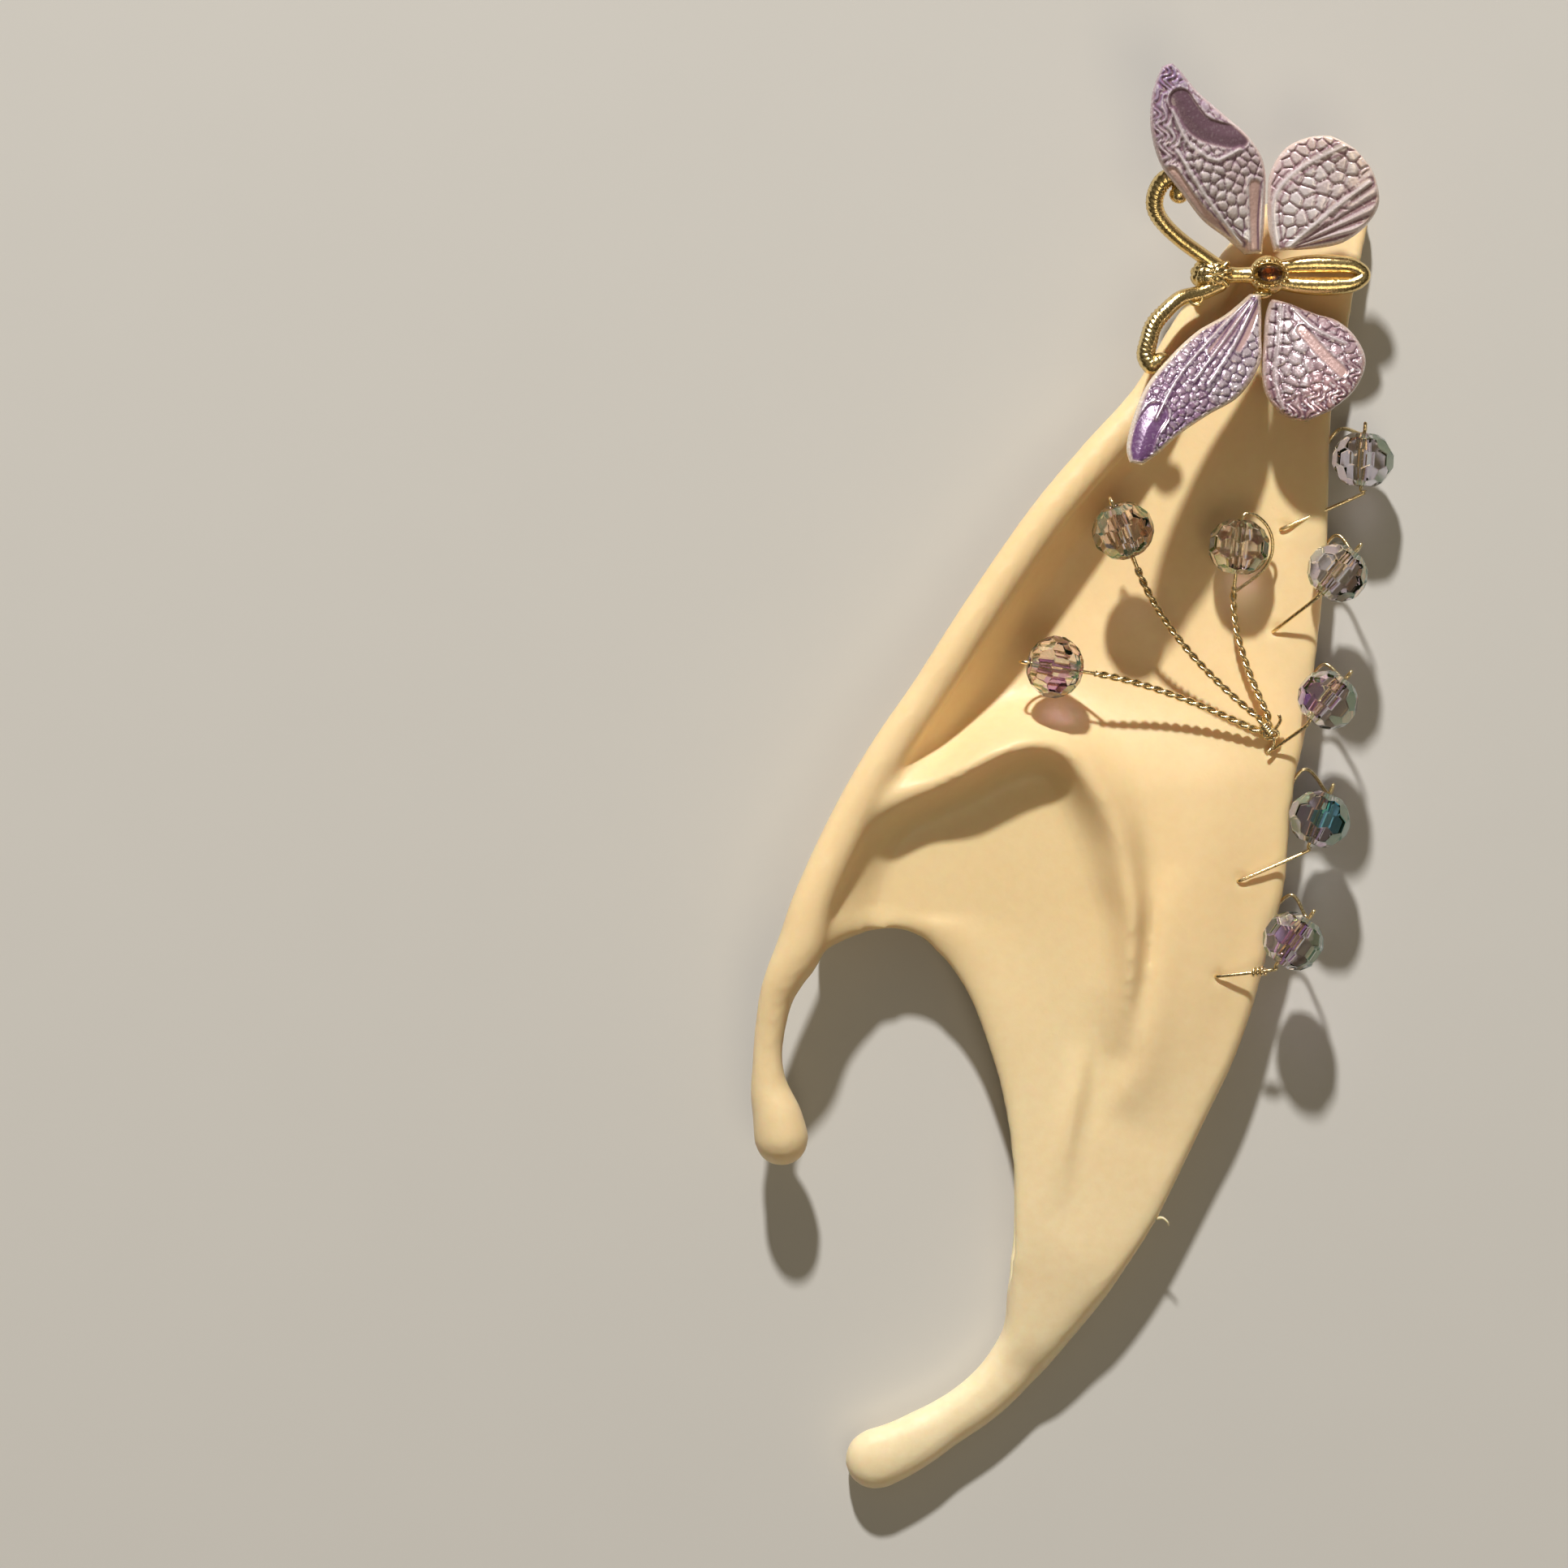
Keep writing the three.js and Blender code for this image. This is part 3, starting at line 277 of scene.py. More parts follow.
def ball(centre: Array, radii: Array, segments: int = 24, rings: int = 16) -> Mould:
    """A round or stretched ball about a centre."""
    verts = [centre + np.array([0, 0, radii[2]])]
    for j in range(1, rings):
        polar = math.pi * j / rings
        turn = np.linspace(0, 2 * math.pi, segments, endpoint=False)
        ring = np.stack([np.cos(turn), np.sin(turn), np.zeros(segments)], axis=1)
        ring = ring * math.sin(polar) + np.array([0, 0, math.cos(polar)])
        verts += list(centre + ring * radii)
    verts.append(centre - np.array([0, 0, radii[2]]))
    faces: list[tuple[int, ...]] = []
    for k in range(segments):
        follow = (k + 1) % segments
        faces.append((0, 1 + k, 1 + follow))
        base = 1 + (rings - 2) * segments
        faces.append((len(verts) - 1, base + follow, base + k))
        for j in range(rings - 2):
            a, b = 1 + j * segments + k, 1 + j * segments + follow
            faces.append((a, a + segments, b + segments, b))
    return Mould(np.array(verts), faces)


# Meshes into the scene.


def put(name: str, mould: Mould, smooth: bool = True) -> bpy.types.Object:
    """Makes an object of a mesh, in metres in the part's frame.

    Args:
        name: The object's name.
        mould: The mesh in millimetres on the ear's plan.
        smooth: Shades it smooth.

    Returns:
        The new object.
    """
    mesh = bpy.data.meshes.new(name)
    mesh.from_pydata(((mould.points - PLAN_ORIGIN) * MM).tolist(), [], mould.faces)
    for tint, values in mould.tints.items():
        layer = mesh.attributes.new(tint, "FLOAT", "POINT")
        layer.data.foreach_set("value", np.asarray(values, np.float32))
    mesh.polygons.foreach_set("use_smooth", [smooth] * len(mesh.polygons))
    mesh.update()
    made = bpy.data.objects.new(name, mesh)
    bpy.context.scene.collection.objects.link(made)
    turn_out(made)
    return made


def turn_out(made: bpy.types.Object) -> None:
    """Makes the faces of an object's mesh point out."""
    work = bmesh.new()
    work.from_mesh(made.data)
    bmesh.ops.recalc_face_normals(work, faces=work.faces)
    work.to_mesh(made.data)
    work.free()


def apply_all(made: bpy.types.Object) -> None:
    """Replaces an object's mesh by what its modifiers make of it."""
    view = bpy.context.evaluated_depsgraph_get()
    baked = bpy.data.meshes.new_from_object(made.evaluated_get(view))
    made.modifiers.clear()
    made.data = baked


def cut_away(made: bpy.types.Object, tool: bpy.types.Object) -> None:
    """Cuts one object out of another and deletes the cutter."""
    cut = made.modifiers.new("cut", "BOOLEAN")
    cut.operation = "DIFFERENCE"
    cut.solver = "EXACT"
    cut.object = tool
    apply_all(made)
    bpy.data.objects.remove(tool)


def finish_piece(
    made: bpy.types.Object, nodes: list[str], slot: str, *materials: bpy.types.Material
) -> bpy.types.Object:
    """Dresses a piece and sets it on the frame.

    Args:
        made: The piece.
        nodes: The solids that it stands for.
        slot: The record's material slot; not used.
        materials: Its material, and that of its second faces if it has any.

    Returns:
        The piece.
    """
    made.data.materials.clear()
    for material in materials:
        made.data.materials.append(material)
    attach(made, "root")
    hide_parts(*nodes)
    LOG.info("%s: %d faces", made.name, len(made.data.polygons))
    return made


# Shader building.


class Board:
    """Places and links nodes on one node tree."""

    def __init__(self, tree: bpy.types.NodeTree) -> None:
        """Keeps the tree to build on."""
        self.tree = tree

    def node(
        self, kind: str, links: dict[str | int, object] | None = None, **settings: object
    ) -> bpy.types.Node:
        """Adds a node.

        Args:
            kind: The node's type without its leading ShaderNode.
            links: Inputs by name or number, each a socket or a plain value.
            settings: Properties of the node.

        Returns:
            The new node.
        """
        made = self.tree.nodes.new(f"ShaderNode{kind}")
        for name, value in settings.items():
            setattr(made, name, value)
        return self.fill(made, links or {})

    def fill(self, made: bpy.types.Node, links: dict[str | int, object]) -> bpy.types.Node:
        """Links or sets a node's inputs by name or number."""
        for key, value in links.items():
            if isinstance(value, bpy.types.NodeSocket):
                self.tree.links.new(value, made.inputs[key])
            else:
                made.inputs[key].default_value = value
        return made

    def effect(self, group: bpy.types.NodeTree, links: dict[str, object]) -> bpy.types.Node:
        """Adds a shared effect with its own values."""
        made = self.tree.nodes.new("ShaderNodeGroup")
        made.node_tree = group
        return self.fill(made, links)

    def maths(self, operation: str, a: object, b: object = 0.0, c: object = 0.0) -> bpy.types.NodeSocket:
        """The result of one sum on one to three values."""
        return self.node("Math", {0: a, 1: b, 2: c}, operation=operation).outputs[0]

    def mixed(self, share: object, a: object, b: object, blend: str = "MIX") -> bpy.types.NodeSocket:
        """Two colours mixed by a share."""
        made = self.node("Mix", {"Factor": share}, data_type="RGBA", blend_type=blend)
        for socket, value in ((made.inputs[6], a), (made.inputs[7], b)):
            if isinstance(value, bpy.types.NodeSocket):
                self.tree.links.new(value, socket)
            else:
                socket.default_value = (*value, 1.0)
        return made.outputs[2]

    def ramp(self, value: object, stops: list[tuple[float, Colour]]) -> bpy.types.NodeSocket:
        """A colour ramp over a value."""
        made = self.node("ValToRGB", {"Fac": value})
        band = made.color_ramp
        while len(band.elements) < len(stops):
            band.elements.new(0.5)
        for element, (place, colour) in zip(band.elements, stops):
            element.position = place
            element.color = (*colour, 1.0)
        return made.outputs["Color"]

    def attribute(self, name: str) -> bpy.types.NodeSocket:
        """The value of one of the mesh's named tints."""
        return self.node("Attribute", attribute_name=name).outputs["Fac"]

    def place(self) -> bpy.types.NodeSocket:
        """The place on the object, in metres."""
        return self.node("TexCoord").outputs["Object"]


def new_effect(
    name: str, inputs: list[tuple[str, str, object]], outputs: list[tuple[str, str]]
) -> tuple[bpy.types.NodeTree, Board, bpy.types.Node, bpy.types.Node]:
    """Starts a shared effect.

    Args:
        name: The group's name.
        inputs: Name, socket kind and default of each input.
        outputs: Name and socket kind of each output.

    Returns:
        The group, a board on it, and its input and output nodes.
    """
    group = bpy.data.node_groups.new(name, "ShaderNodeTree")
    for label, kind, default in inputs:
        socket = group.interface.new_socket(label, in_out="INPUT", socket_type=f"NodeSocket{kind}")
        socket.default_value = default
    for label, kind in outputs:
        group.interface.new_socket(label, in_out="OUTPUT", socket_type=f"NodeSocket{kind}")
    board = Board(group)
    return group, board, group.nodes.new("NodeGroupInput"), group.nodes.new("NodeGroupOutput")


class Effects:
    """The shader effects that several finishes share, each built once."""

    def __init__(self) -> None:
        """Builds the effects."""
        self.mottle = self._mottle()
        self.grain = self._grain()
        self.glitter = self._glitter()

    @staticmethod
    def _mottle() -> bpy.types.NodeTree:
        """Cloudy and fine changes of a colour: Colour out, and the cloud as Mask."""
        group, board, given, result = new_effect(
            "colour_mottle",
            [
                ("Colour", "Color", (0.8, 0.8, 0.8, 1)),
                ("Darker", "Color", (0.5, 0.5, 0.5, 1)),
                ("Cloud Scale", "Float", 40.0),
                ("Fine Scale", "Float", 900.0),
                ("Amount", "Float", 0.3),
            ],
            [("Colour", "Color"), ("Mask", "Float")],
        )
        place = board.place()
        cloud = board.node(
            "TexNoise", {"Vector": place, "Scale": given.outputs["Cloud Scale"], "Detail": 4.0}
        ).outputs["Fac"]
        fine = board.node(
            "TexNoise", {"Vector": place, "Scale": given.outputs["Fine Scale"], "Detail": 3.0}
        ).outputs["Fac"]
        both = board.maths("MULTIPLY_ADD", fine, 0.45, board.maths("MULTIPLY", cloud, 0.75))
        mask = board.node(
            "MapRange", {"Value": both, "From Min": 0.4, "From Max": 0.8}
        ).outputs["Result"]
        share = board.maths("MULTIPLY", mask, given.outputs["Amount"])
        colour = board.mixed(share, given.outputs["Colour"], given.outputs["Darker"])
        group.links.new(colour, result.inputs["Colour"])
        group.links.new(mask, result.inputs["Mask"])
        return group

    @staticmethod
    def _grain() -> bpy.types.NodeTree:
        """Small unevenness of a surface as a Height, and a Roughness that varies with it."""
        group, board, given, result = new_effect(
            "surface_grain",
            [
                ("Scale", "Float", 900.0),
                ("Wave Scale", "Float", 120.0),
                ("Smooth", "Float", 0.4),
                ("Rough", "Float", 0.6),
            ],
            [("Height", "Float"), ("Roughness", "Float")],
        )
        place = board.place()
        fine = board.node(
            "TexNoise", {"Vector": place, "Scale": given.outputs["Scale"], "Detail": 5.0}
        ).outputs["Fac"]
        wave = board.node(
            "TexNoise", {"Vector": place, "Scale": given.outputs["Wave Scale"], "Detail": 2.0}
        ).outputs["Fac"]
        height = board.maths("MULTIPLY_ADD", wave, 2.0, fine)
        rough = board.node(
            "MapRange",
            {"Value": fine, "From Min": 0.3, "From Max": 0.7, "To Min": given.outputs["Smooth"],
             "To Max": given.outputs["Rough"]},
        ).outputs["Result"]
        group.links.new(height, result.inputs["Height"])
        group.links.new(rough, result.inputs["Roughness"])
        return group

    @staticmethod
    def _glitter() -> bpy.types.NodeTree:
        """Tiny random flakes: a Mask of the bright ones and a Height that tips them."""
        group, board, given, result = new_effect(
            "fine_glitter",
            [("Scale", "Float", 3000.0), ("Share", "Float", 0.2)],
            [("Mask", "Float"), ("Height", "Float")],
        )
        flakes = board.node("TexVoronoi", {"Vector": board.place(), "Scale": given.outputs["Scale"]})
        chance = board.node("SeparateColor", {"Color": flakes.outputs["Color"]}).outputs["Red"]
        edge = board.maths("SUBTRACT", 1.0, given.outputs["Share"])
        mask = board.maths("GREATER_THAN", chance, edge)
        group.links.new(mask, result.inputs["Mask"])
        group.links.new(chance, result.inputs["Height"])
        return group


def new_material(name: str) -> tuple[bpy.types.Material, Board, bpy.types.Node]:
    """Starts a material.

    Args:
        name: The material's name.

    Returns:
        The material, a board on its tree and its Principled shader.
    """
    material = bpy.data.materials.new(name)
    material.use_nodes = True
    board = Board(material.node_tree)
    return material, board, material.node_tree.nodes["Principled BSDF"]


@dataclass(frozen=True)
class LatexFinish:
    """Cream moulded latex, satin and a little see-through, with painted light that makes it paler towards the
    arm.
    """

    cream: Colour = (0.90, 0.695, 0.40)
    shade: Colour = (0.80, 0.575, 0.29)
    pale: Colour = (0.98, 0.86, 0.60)
    pale_from: float = -0.015
    pale_to: float = -0.08
    painted_light_share: float = 0.9
    satin: float = 0.40
    matt: float = 0.56

    def material(self, effects: Effects) -> bpy.types.Material:
        """Builds the material from the shared effects."""
        material, board, shader = new_material("cream_latex")
        # Painted light: the colour turns paler down towards the arm, standing in for the extra light on the
        # lower leaf and arm.
        along = board.node("SeparateXYZ", {"Vector": board.place()}).outputs["Y"]
        low = board.node(
            "MapRange",
            {"Value": along, "From Min": self.pale_from, "From Max": self.pale_to, "To Max": self.painted_light_share},
        ).outputs["Result"]
        painted_light_colour = board.mixed(low, self.cream, self.pale)
        mottle = board.effect(
            effects.mottle,
            {"Colour": painted_light_colour, "Darker": (*self.shade, 1), "Cloud Scale": 38.0,
             "Fine Scale": 700.0, "Amount": 0.45},
        )
        grain = board.effect(
            effects.grain,
            {"Scale": 1300.0, "Wave Scale": 130.0, "Smooth": self.satin, "Rough": self.matt},
        )
        pits = board.node("TexVoronoi", {"Vector": board.place(), "Scale": 420.0}).outputs["Distance"]
        pit = board.node(
            "MapRange", {"Value": pits, "From Min": 0.0, "From Max": 0.12, "To Min": -1.0, "To Max": 0.0}
        ).outputs["Result"]
        height = board.maths("MULTIPLY_ADD", pit, 0.5, grain.outputs["Height"])
        bump = board.node("Bump", {"Height": height, "Strength": 0.16, "Distance": 0.00012})
        links = board.tree.links
        links.new(mottle.outputs["Colour"], shader.inputs["Base Color"])
        links.new(grain.outputs["Roughness"], shader.inputs["Roughness"])
        links.new(bump.outputs["Normal"], shader.inputs["Normal"])
        shader.inputs["Subsurface Weight"].default_value = 0.35
        shader.inputs["Subsurface Radius"].default_value = (1.0, 0.42, 0.16)
        shader.inputs["Subsurface Scale"].default_value = 0.0026
        shader.inputs["Specular IOR Level"].default_value = 0.42
        return material


@dataclass(frozen=True)
class GoldFinish:
    """Polished pale gold, with worn brightness and fine scratches."""

    name: str = "pale_gold"
    bright: Colour = (0.93, 0.74, 0.38)
    deep: Colour = (0.72, 0.50, 0.19)
    polish: float = 0.14
    dull: float = 0.30

    def material(self, effects: Effects) -> bpy.types.Material:
        """Builds the material from the shared effects."""
        material, board, shader = new_material(self.name)
        mottle = board.effect(
            effects.mottle,
            {"Colour": (*self.bright, 1), "Darker": (*self.deep, 1), "Cloud Scale": 300.0,
             "Fine Scale": 2600.0, "Amount": 0.7},
        )
        grain = board.effect(
            effects.grain,
            {"Scale": 4200.0, "Wave Scale": 700.0, "Smooth": self.polish, "Rough": self.dull},
        )
        bump = board.node(
            "Bump", {"Height": grain.outputs["Height"], "Strength": 0.35, "Distance": 0.0001}
        )
        links = board.tree.links
        links.new(mottle.outputs["Colour"], shader.inputs["Base Color"])
        links.new(grain.outputs["Roughness"], shader.inputs["Roughness"])
        links.new(bump.outputs["Normal"], shader.inputs["Normal"])
        shader.inputs["Metallic"].default_value = 1.0
        return material


@dataclass(frozen=True)
class WingFinish:
    """Tinted resin over pressed foil, from a root colour to a tip colour."""

    name: str
    root: Colour
    middle: Colour
    tip: Colour
    groove: Colour
    plain: Colour = (0.60, 0.40, 0.38)
    dark: Colour = (0.20, 0.06, 0.30)
    silver: Colour = (0.92, 0.88, 0.92)
    rim: Colour = (0.93, 0.72, 0.50)
    rim_share: float = 0.3
    pearl_metal: float = 0.35

    def material(self, effects: Effects) -> bpy.types.Material:
        """Builds the material from the shared effects and the wing's own tints."""
        material, board, shader = new_material(self.name)
        way = board.attribute("way")
        web = board.attribute("web")
        pearl = board.attribute("pearl")
        edge = board.attribute("edge")
        body = board.ramp(way, [(0.0, self.root), (0.5, self.middle), (0.9, self.tip)])
        mottle = board.effect(
            effects.mottle,
            {"Colour": body, "Darker": (*self.groove, 1), "Cloud Scale": 260.0,
             "Fine Scale": 2400.0, "Amount": 0.35},
        )
        shine = board.maths("MULTIPLY_ADD", way, -0.55, 1.0)
        silvered = board.mixed(
            board.maths("MULTIPLY", board.maths("POWER", pearl, 1.4), shine),
            mottle.outputs["Colour"], self.silver,
        )
        smoothed = board.mixed(board.maths("MULTIPLY", board.attribute("plain"), 0.8), silvered, self.plain)
        darkened = board.mixed(board.maths("MULTIPLY", board.attribute("dark"), 0.92), smoothed, self.dark)
        webbed = board.mixed(web, self.groove, darkened)
        glitter = board.effect(effects.glitter, {"Scale": 3600.0, "Share": 0.16})
        calm = board.maths("MULTIPLY_ADD", board.attribute("plain"), -0.85, 1.0)
        shown = board.maths("MULTIPLY", calm, board.maths("MULTIPLY_ADD", way, 0.4, 0.15))
        spark = board.maths("MULTIPLY", glitter.outputs["Mask"], shown)
        rimmed = board.mixed(board.maths("MULTIPLY", edge, self.rim_share), webbed, self.rim)
        colour = board.mixed(spark, rimmed, (0.96, 0.90, 0.96))
        grain = board.effect(
            effects.grain, {"Scale": 2600.0, "Wave Scale": 500.0, "Smooth": 0.16, "Rough": 0.34}
        )
        height = board.maths("MULTIPLY_ADD", glitter.outputs["Height"], 1.2, grain.outputs["Height"])
        bump = board.node("Bump", {"Height": height, "Strength": 0.4, "Distance": 0.0001})
        links = board.tree.links
        links.new(colour, shader.inputs["Base Color"])
        metal = board.maths("MULTIPLY_ADD", pearl, self.pearl_metal, 0.06)
        links.new(metal, shader.inputs["Metallic"])
        links.new(grain.outputs["Roughness"], shader.inputs["Roughness"])
        links.new(bump.outputs["Normal"], shader.inputs["Normal"])
        shader.inputs["Coat Weight"].default_value = 1.0
        shader.inputs["Coat Roughness"].default_value = 0.05
        return material


@dataclass(frozen=True)
class GlassFinish:
    """Cut glass, clear or tinted, with a thin rainbow coat."""

    name: str
    tint: Colour
    clear: float = 1.0
    coat_film: float = 0.0
    mirror: float = 0.0
    rough: float = 0.0

    def material(self, effects: Effects) -> bpy.types.Material:
        """Builds the material, tinted by the mesh's own facet colours, which on the beads carry painted
        reflection tints.
        """
        material, board, shader = new_material(self.name)
        facet = board.node("Attribute", attribute_name="facet").outputs["Color"]
        mottle = board.effect(
            effects.mottle,
            {"Colour": (*self.tint, 1), "Darker": tuple(0.9 * c for c in self.tint) + (1,),
             "Cloud Scale": 500.0, "Fine Scale": 1500.0, "Amount": 0.4},
        )
        colour = board.mixed(1.0, mottle.outputs["Colour"], facet, "MULTIPLY")
        grain = board.effect(
            effects.grain,
            {"Scale": 1500.0, "Wave Scale": 300.0, "Smooth": self.rough, "Rough": self.rough * 1.4 + 0.03},
        )
        links = board.tree.links
        links.new(colour, shader.inputs["Base Color"])
        links.new(grain.outputs["Roughness"], shader.inputs["Roughness"])
        shader.inputs["IOR"].default_value = 1.58
        shader.inputs["Transmission Weight"].default_value = self.clear
        shader.inputs["Metallic"].default_value = self.mirror
        if self.coat_film:
            shader.inputs["Thin Film Thickness"].default_value = self.coat_film
            shader.inputs["Thin Film IOR"].default_value = 1.9
        return material


@dataclass(frozen=True)
class FloorFinish:
    """A plain pale floor."""

    grey: Colour = (0.60, 0.592, 0.575)

    def material(self, effects: Effects) -> bpy.types.Material:
        """Builds the material from the shared effects."""
        material, board, shader = new_material("pale_floor")
        mottle = board.effect(
            effects.mottle,
            {"Colour": (*self.grey, 1), "Darker": tuple(0.94 * c for c in self.grey) + (1,),
             "Cloud Scale": 6.0, "Fine Scale": 60.0, "Amount": 0.3},
        )
        board.tree.links.new(mottle.outputs["Colour"], shader.inputs["Base Color"])
        shader.inputs["Roughness"].default_value = 0.85
        return material


# The moulded ear.

LEAF = Table(
    ("in_x", "in_y", "out_x", "out_y", "rim", "dip_at", "lift", "lip", "flat_from", "flat_to"),
    np.array([
        [0.958, 0.990, 0.993, 0.984, 0.28, 0.50, 0.00, 0.29, 0.40, 0.60],
        [0.893, 0.973, 1.004, 0.959, 0.31, 0.45, 0.00, 0.32, 0.35, 0.60],
        [0.818, 0.942, 0.996, 0.936, 0.35, 0.40, 0.00, 0.36, 0.32, 0.60],
        [0.755, 0.906, 0.980, 0.903, 0.38, 0.32, 0.00, 0.40, 0.28, 0.58],
        [0.704, 0.868, 0.965, 0.860, 0.43, 0.27, 0.00, 0.43, 0.25, 0.55],
        [0.644, 0.821, 0.942, 0.809, 0.50, 0.23, 0.00, 0.46, 0.22, 0.55],
        [0.565, 0.778, 0.938, 0.754, 0.59, 0.19, 0.00, 0.48, 0.19, 0.55],
        [0.478, 0.730, 0.933, 0.699, 0.67, 0.17, 0.00, 0.50, 0.17, 0.56],
        [0.377, 0.663, 0.920, 0.642, 0.74, 0.16, 0.05, 0.52, 0.16, 0.58],
        [0.296, 0.605, 0.907, 0.593, 0.78, 0.15, 0.32, 0.54, 0.13, 0.60],
        [0.221, 0.553, 0.894, 0.559, 0.80, 0.15, 0.80, 0.55, 0.10, 0.64],
        [0.160, 0.502, 0.883, 0.539, 0.82, 0.16, 1.00, 0.56, 0.08, 0.68],
        [0.105, 0.447, 0.878, 0.520, 0.85, 0.16, 1.00, 0.56, 0.06, 0.70],
        [0.105, 0.409, 0.873, 0.504, 0.84, 0.17, 1.00, 0.56, 0.02, 0.70],
        [0.166, 0.418, 0.869, 0.475, 0.68, 0.24, 1.00, 0.56, -0.2, 0.70],
        [0.212, 0.423, 0.861, 0.447, 0.60, 0.30, 1.00, 0.56, -0.2, 0.70],
        [0.263, 0.417, 0.840, 0.411, 0.59, 0.34, 1.00, 0.56, -0.2, 0.70],
        [0.310, 0.401, 0.814, 0.366, 0.59, 0.36, 1.00, 0.56, -0.2, 0.70],
        [0.349, 0.375, 0.781, 0.323, 0.60, 0.38, 1.00, 0.56, -0.2, 0.70],
        [0.377, 0.343, 0.742, 0.285, 0.60, 0.40, 1.00, 0.55, -0.2, 0.70],
        [0.404, 0.302, 0.703, 0.247, 0.60, 0.42, 1.00, 0.54, -0.2, 0.70],
        [0.421, 0.253, 0.657, 0.204, 0.60, 0.45, 1.00, 0.52, -0.2, 0.72],
        [0.424, 0.202, 0.605, 0.166, 0.59, 0.50, 1.00, 0.50, -0.2, 0.78],
        [0.416, 0.147, 0.559, 0.135, 0.52, 0.50, 0.85, 0.46, -0.2, 0.90],
        [0.410, 0.117, 0.517, 0.111, 0.46, 0.50, 0.72, 0.43, -0.2, 1.00],
        [0.381, 0.091, 0.471, 0.084, 0.40, 0.50, 0.57, 0.38, -0.2, 1.00],
    ]),
)
HELIX = Table(
    ("x", "y", "height", "radius"),
    np.array([
        [0.967, 0.988, 0.23, 0.37], [0.919, 0.982, 0.25, 0.49], [0.866, 0.967, 0.27, 0.65],
        [0.814, 0.942, 0.30, 0.74], [0.762, 0.909, 0.32, 0.82], [0.704, 0.868, 0.36, 0.90],
        [0.644, 0.820, 0.43, 0.94], [0.565, 0.778, 0.52, 0.98], [0.478, 0.730, 0.60, 0.98],
        [0.377, 0.663, 0.67, 0.98], [0.296, 0.605, 0.71, 0.98], [0.221, 0.553, 0.75, 1.02],
        [0.160, 0.502, 0.76, 1.06], [0.105, 0.447, 0.79, 1.06], [0.084, 0.412, 0.76, 1.22],
        [0.058, 0.389, 0.75, 1.02], [0.042, 0.370, 0.72, 0.86], [0.031, 0.339, 0.68, 0.76],
        [0.030, 0.318, 0.66, 0.82], [0.034, 0.302, 0.63, 1.02], [0.045, 0.284, 0.61, 1.26],
        [0.052, 0.267, 0.59, 1.39],
    ]),
)
ARM = Table(
    ("x", "y", "radius"),
    np.array([
        [0.513, 0.165, 1.06], [0.480, 0.132, 1.12], [0.444, 0.106, 1.06], [0.408, 0.084, 0.97],
        [0.363, 0.065, 0.94], [0.310, 0.049, 0.94], [0.251, 0.033, 1.03], [0.205, 0.024, 1.12],
    ]),
)
FOLD_COLUMNS = ("x", "y", "height", "left", "right")
FOLDS = [
    Table(FOLD_COLUMNS, np.array(rows))
    for rows in (
        [  # the antihelix
            [0.199, 0.508, 0.10, 0.035, 0.030], [0.271, 0.526, 0.32, 0.036, 0.030],
            [0.344, 0.542, 0.45, 0.038, 0.030], [0.398, 0.555, 0.49, 0.042, 0.030],
            [0.455, 0.562, 0.47, 0.046, 0.030], [0.507, 0.556, 0.39, 0.046, 0.032],
            [0.552, 0.533, 0.31, 0.042, 0.036], [0.590, 0.498, 0.26, 0.034, 0.038],
            [0.605, 0.468, 0.24, 0.030, 0.036], [0.614, 0.440, 0.24, 0.028, 0.030],
            [0.614, 0.417, 0.21, 0.026, 0.028], [0.611, 0.386, 0.16, 0.026, 0.028],
            [0.594, 0.327, 0.00, 0.026, 0.028],
        ],
        [  # the valley beside it
            [0.624, 0.505, 0.00, 0.014, 0.014], [0.637, 0.463, -0.03, 0.014, 0.014],
            [0.644, 0.420, -0.04, 0.014, 0.014], [0.637, 0.380, -0.03, 0.014, 0.014],
            [0.627, 0.347, 0.00, 0.014, 0.014],
        ],
        [  # the second ridge
            [0.677, 0.475, 0.00, 0.035, 0.016], [0.668, 0.432, 0.05, 0.035, 0.016],
            [0.657, 0.386, 0.07, 0.035, 0.016], [0.637, 0.339, 0.07, 0.035, 0.018],
            [0.618, 0.308, 0.05, 0.035, 0.020], [0.590, 0.285, 0.00, 0.035, 0.022],
        ],
        [  # the lower valley
            [0.558, 0.380, 0.00, 0.018, 0.018], [0.564, 0.325, -0.04, 0.018, 0.018],
            [0.551, 0.262, 0.00, 0.018, 0.018],
        ],
        [  # the low ridge that runs into the arm
            [0.537, 0.340, 0.00, 0.016, 0.020], [0.525, 0.300, 0.05, 0.016, 0.020],
            [0.510, 0.262, 0.05, 0.016, 0.020], [0.497, 0.210, 0.00, 0.016, 0.020],
        ],
        [  # the broad swell of the outer leaf
            [0.740, 0.560, 0.00, 0.080, 0.080], [0.730, 0.480, 0.08, 0.080, 0.080],
            [0.710, 0.380, 0.09, 0.070, 0.070], [0.640, 0.270, 0.00, 0.060, 0.060],
        ],
    )
]
POCKET = Table(
    ("mouth_x", "mouth_y", "deep_x", "deep_y"),
    np.array([
        [0.166, 0.396, 0.212, 0.462], [0.199, 0.394, 0.250, 0.505], [0.232, 0.391, 0.343, 0.540],
        [0.251, 0.385, 0.454, 0.553], [0.264, 0.376, 0.545, 0.542], [0.284, 0.360, 0.610, 0.505],
        [0.310, 0.340, 0.640, 0.444], [0.336, 0.310, 0.635, 0.372], [0.356, 0.268, 0.600, 0.311],
        [0.369, 0.226, 0.550, 0.256], [0.376, 0.183, 0.500, 0.208], [0.378, 0.150, 0.470, 0.170],
    ]),
)


@dataclass
class LeafSpot:
    """Places of the leaf, with the heights of its face and back and the row's width."""

    place: Array
    front: Array
    back: Array
    width: Array


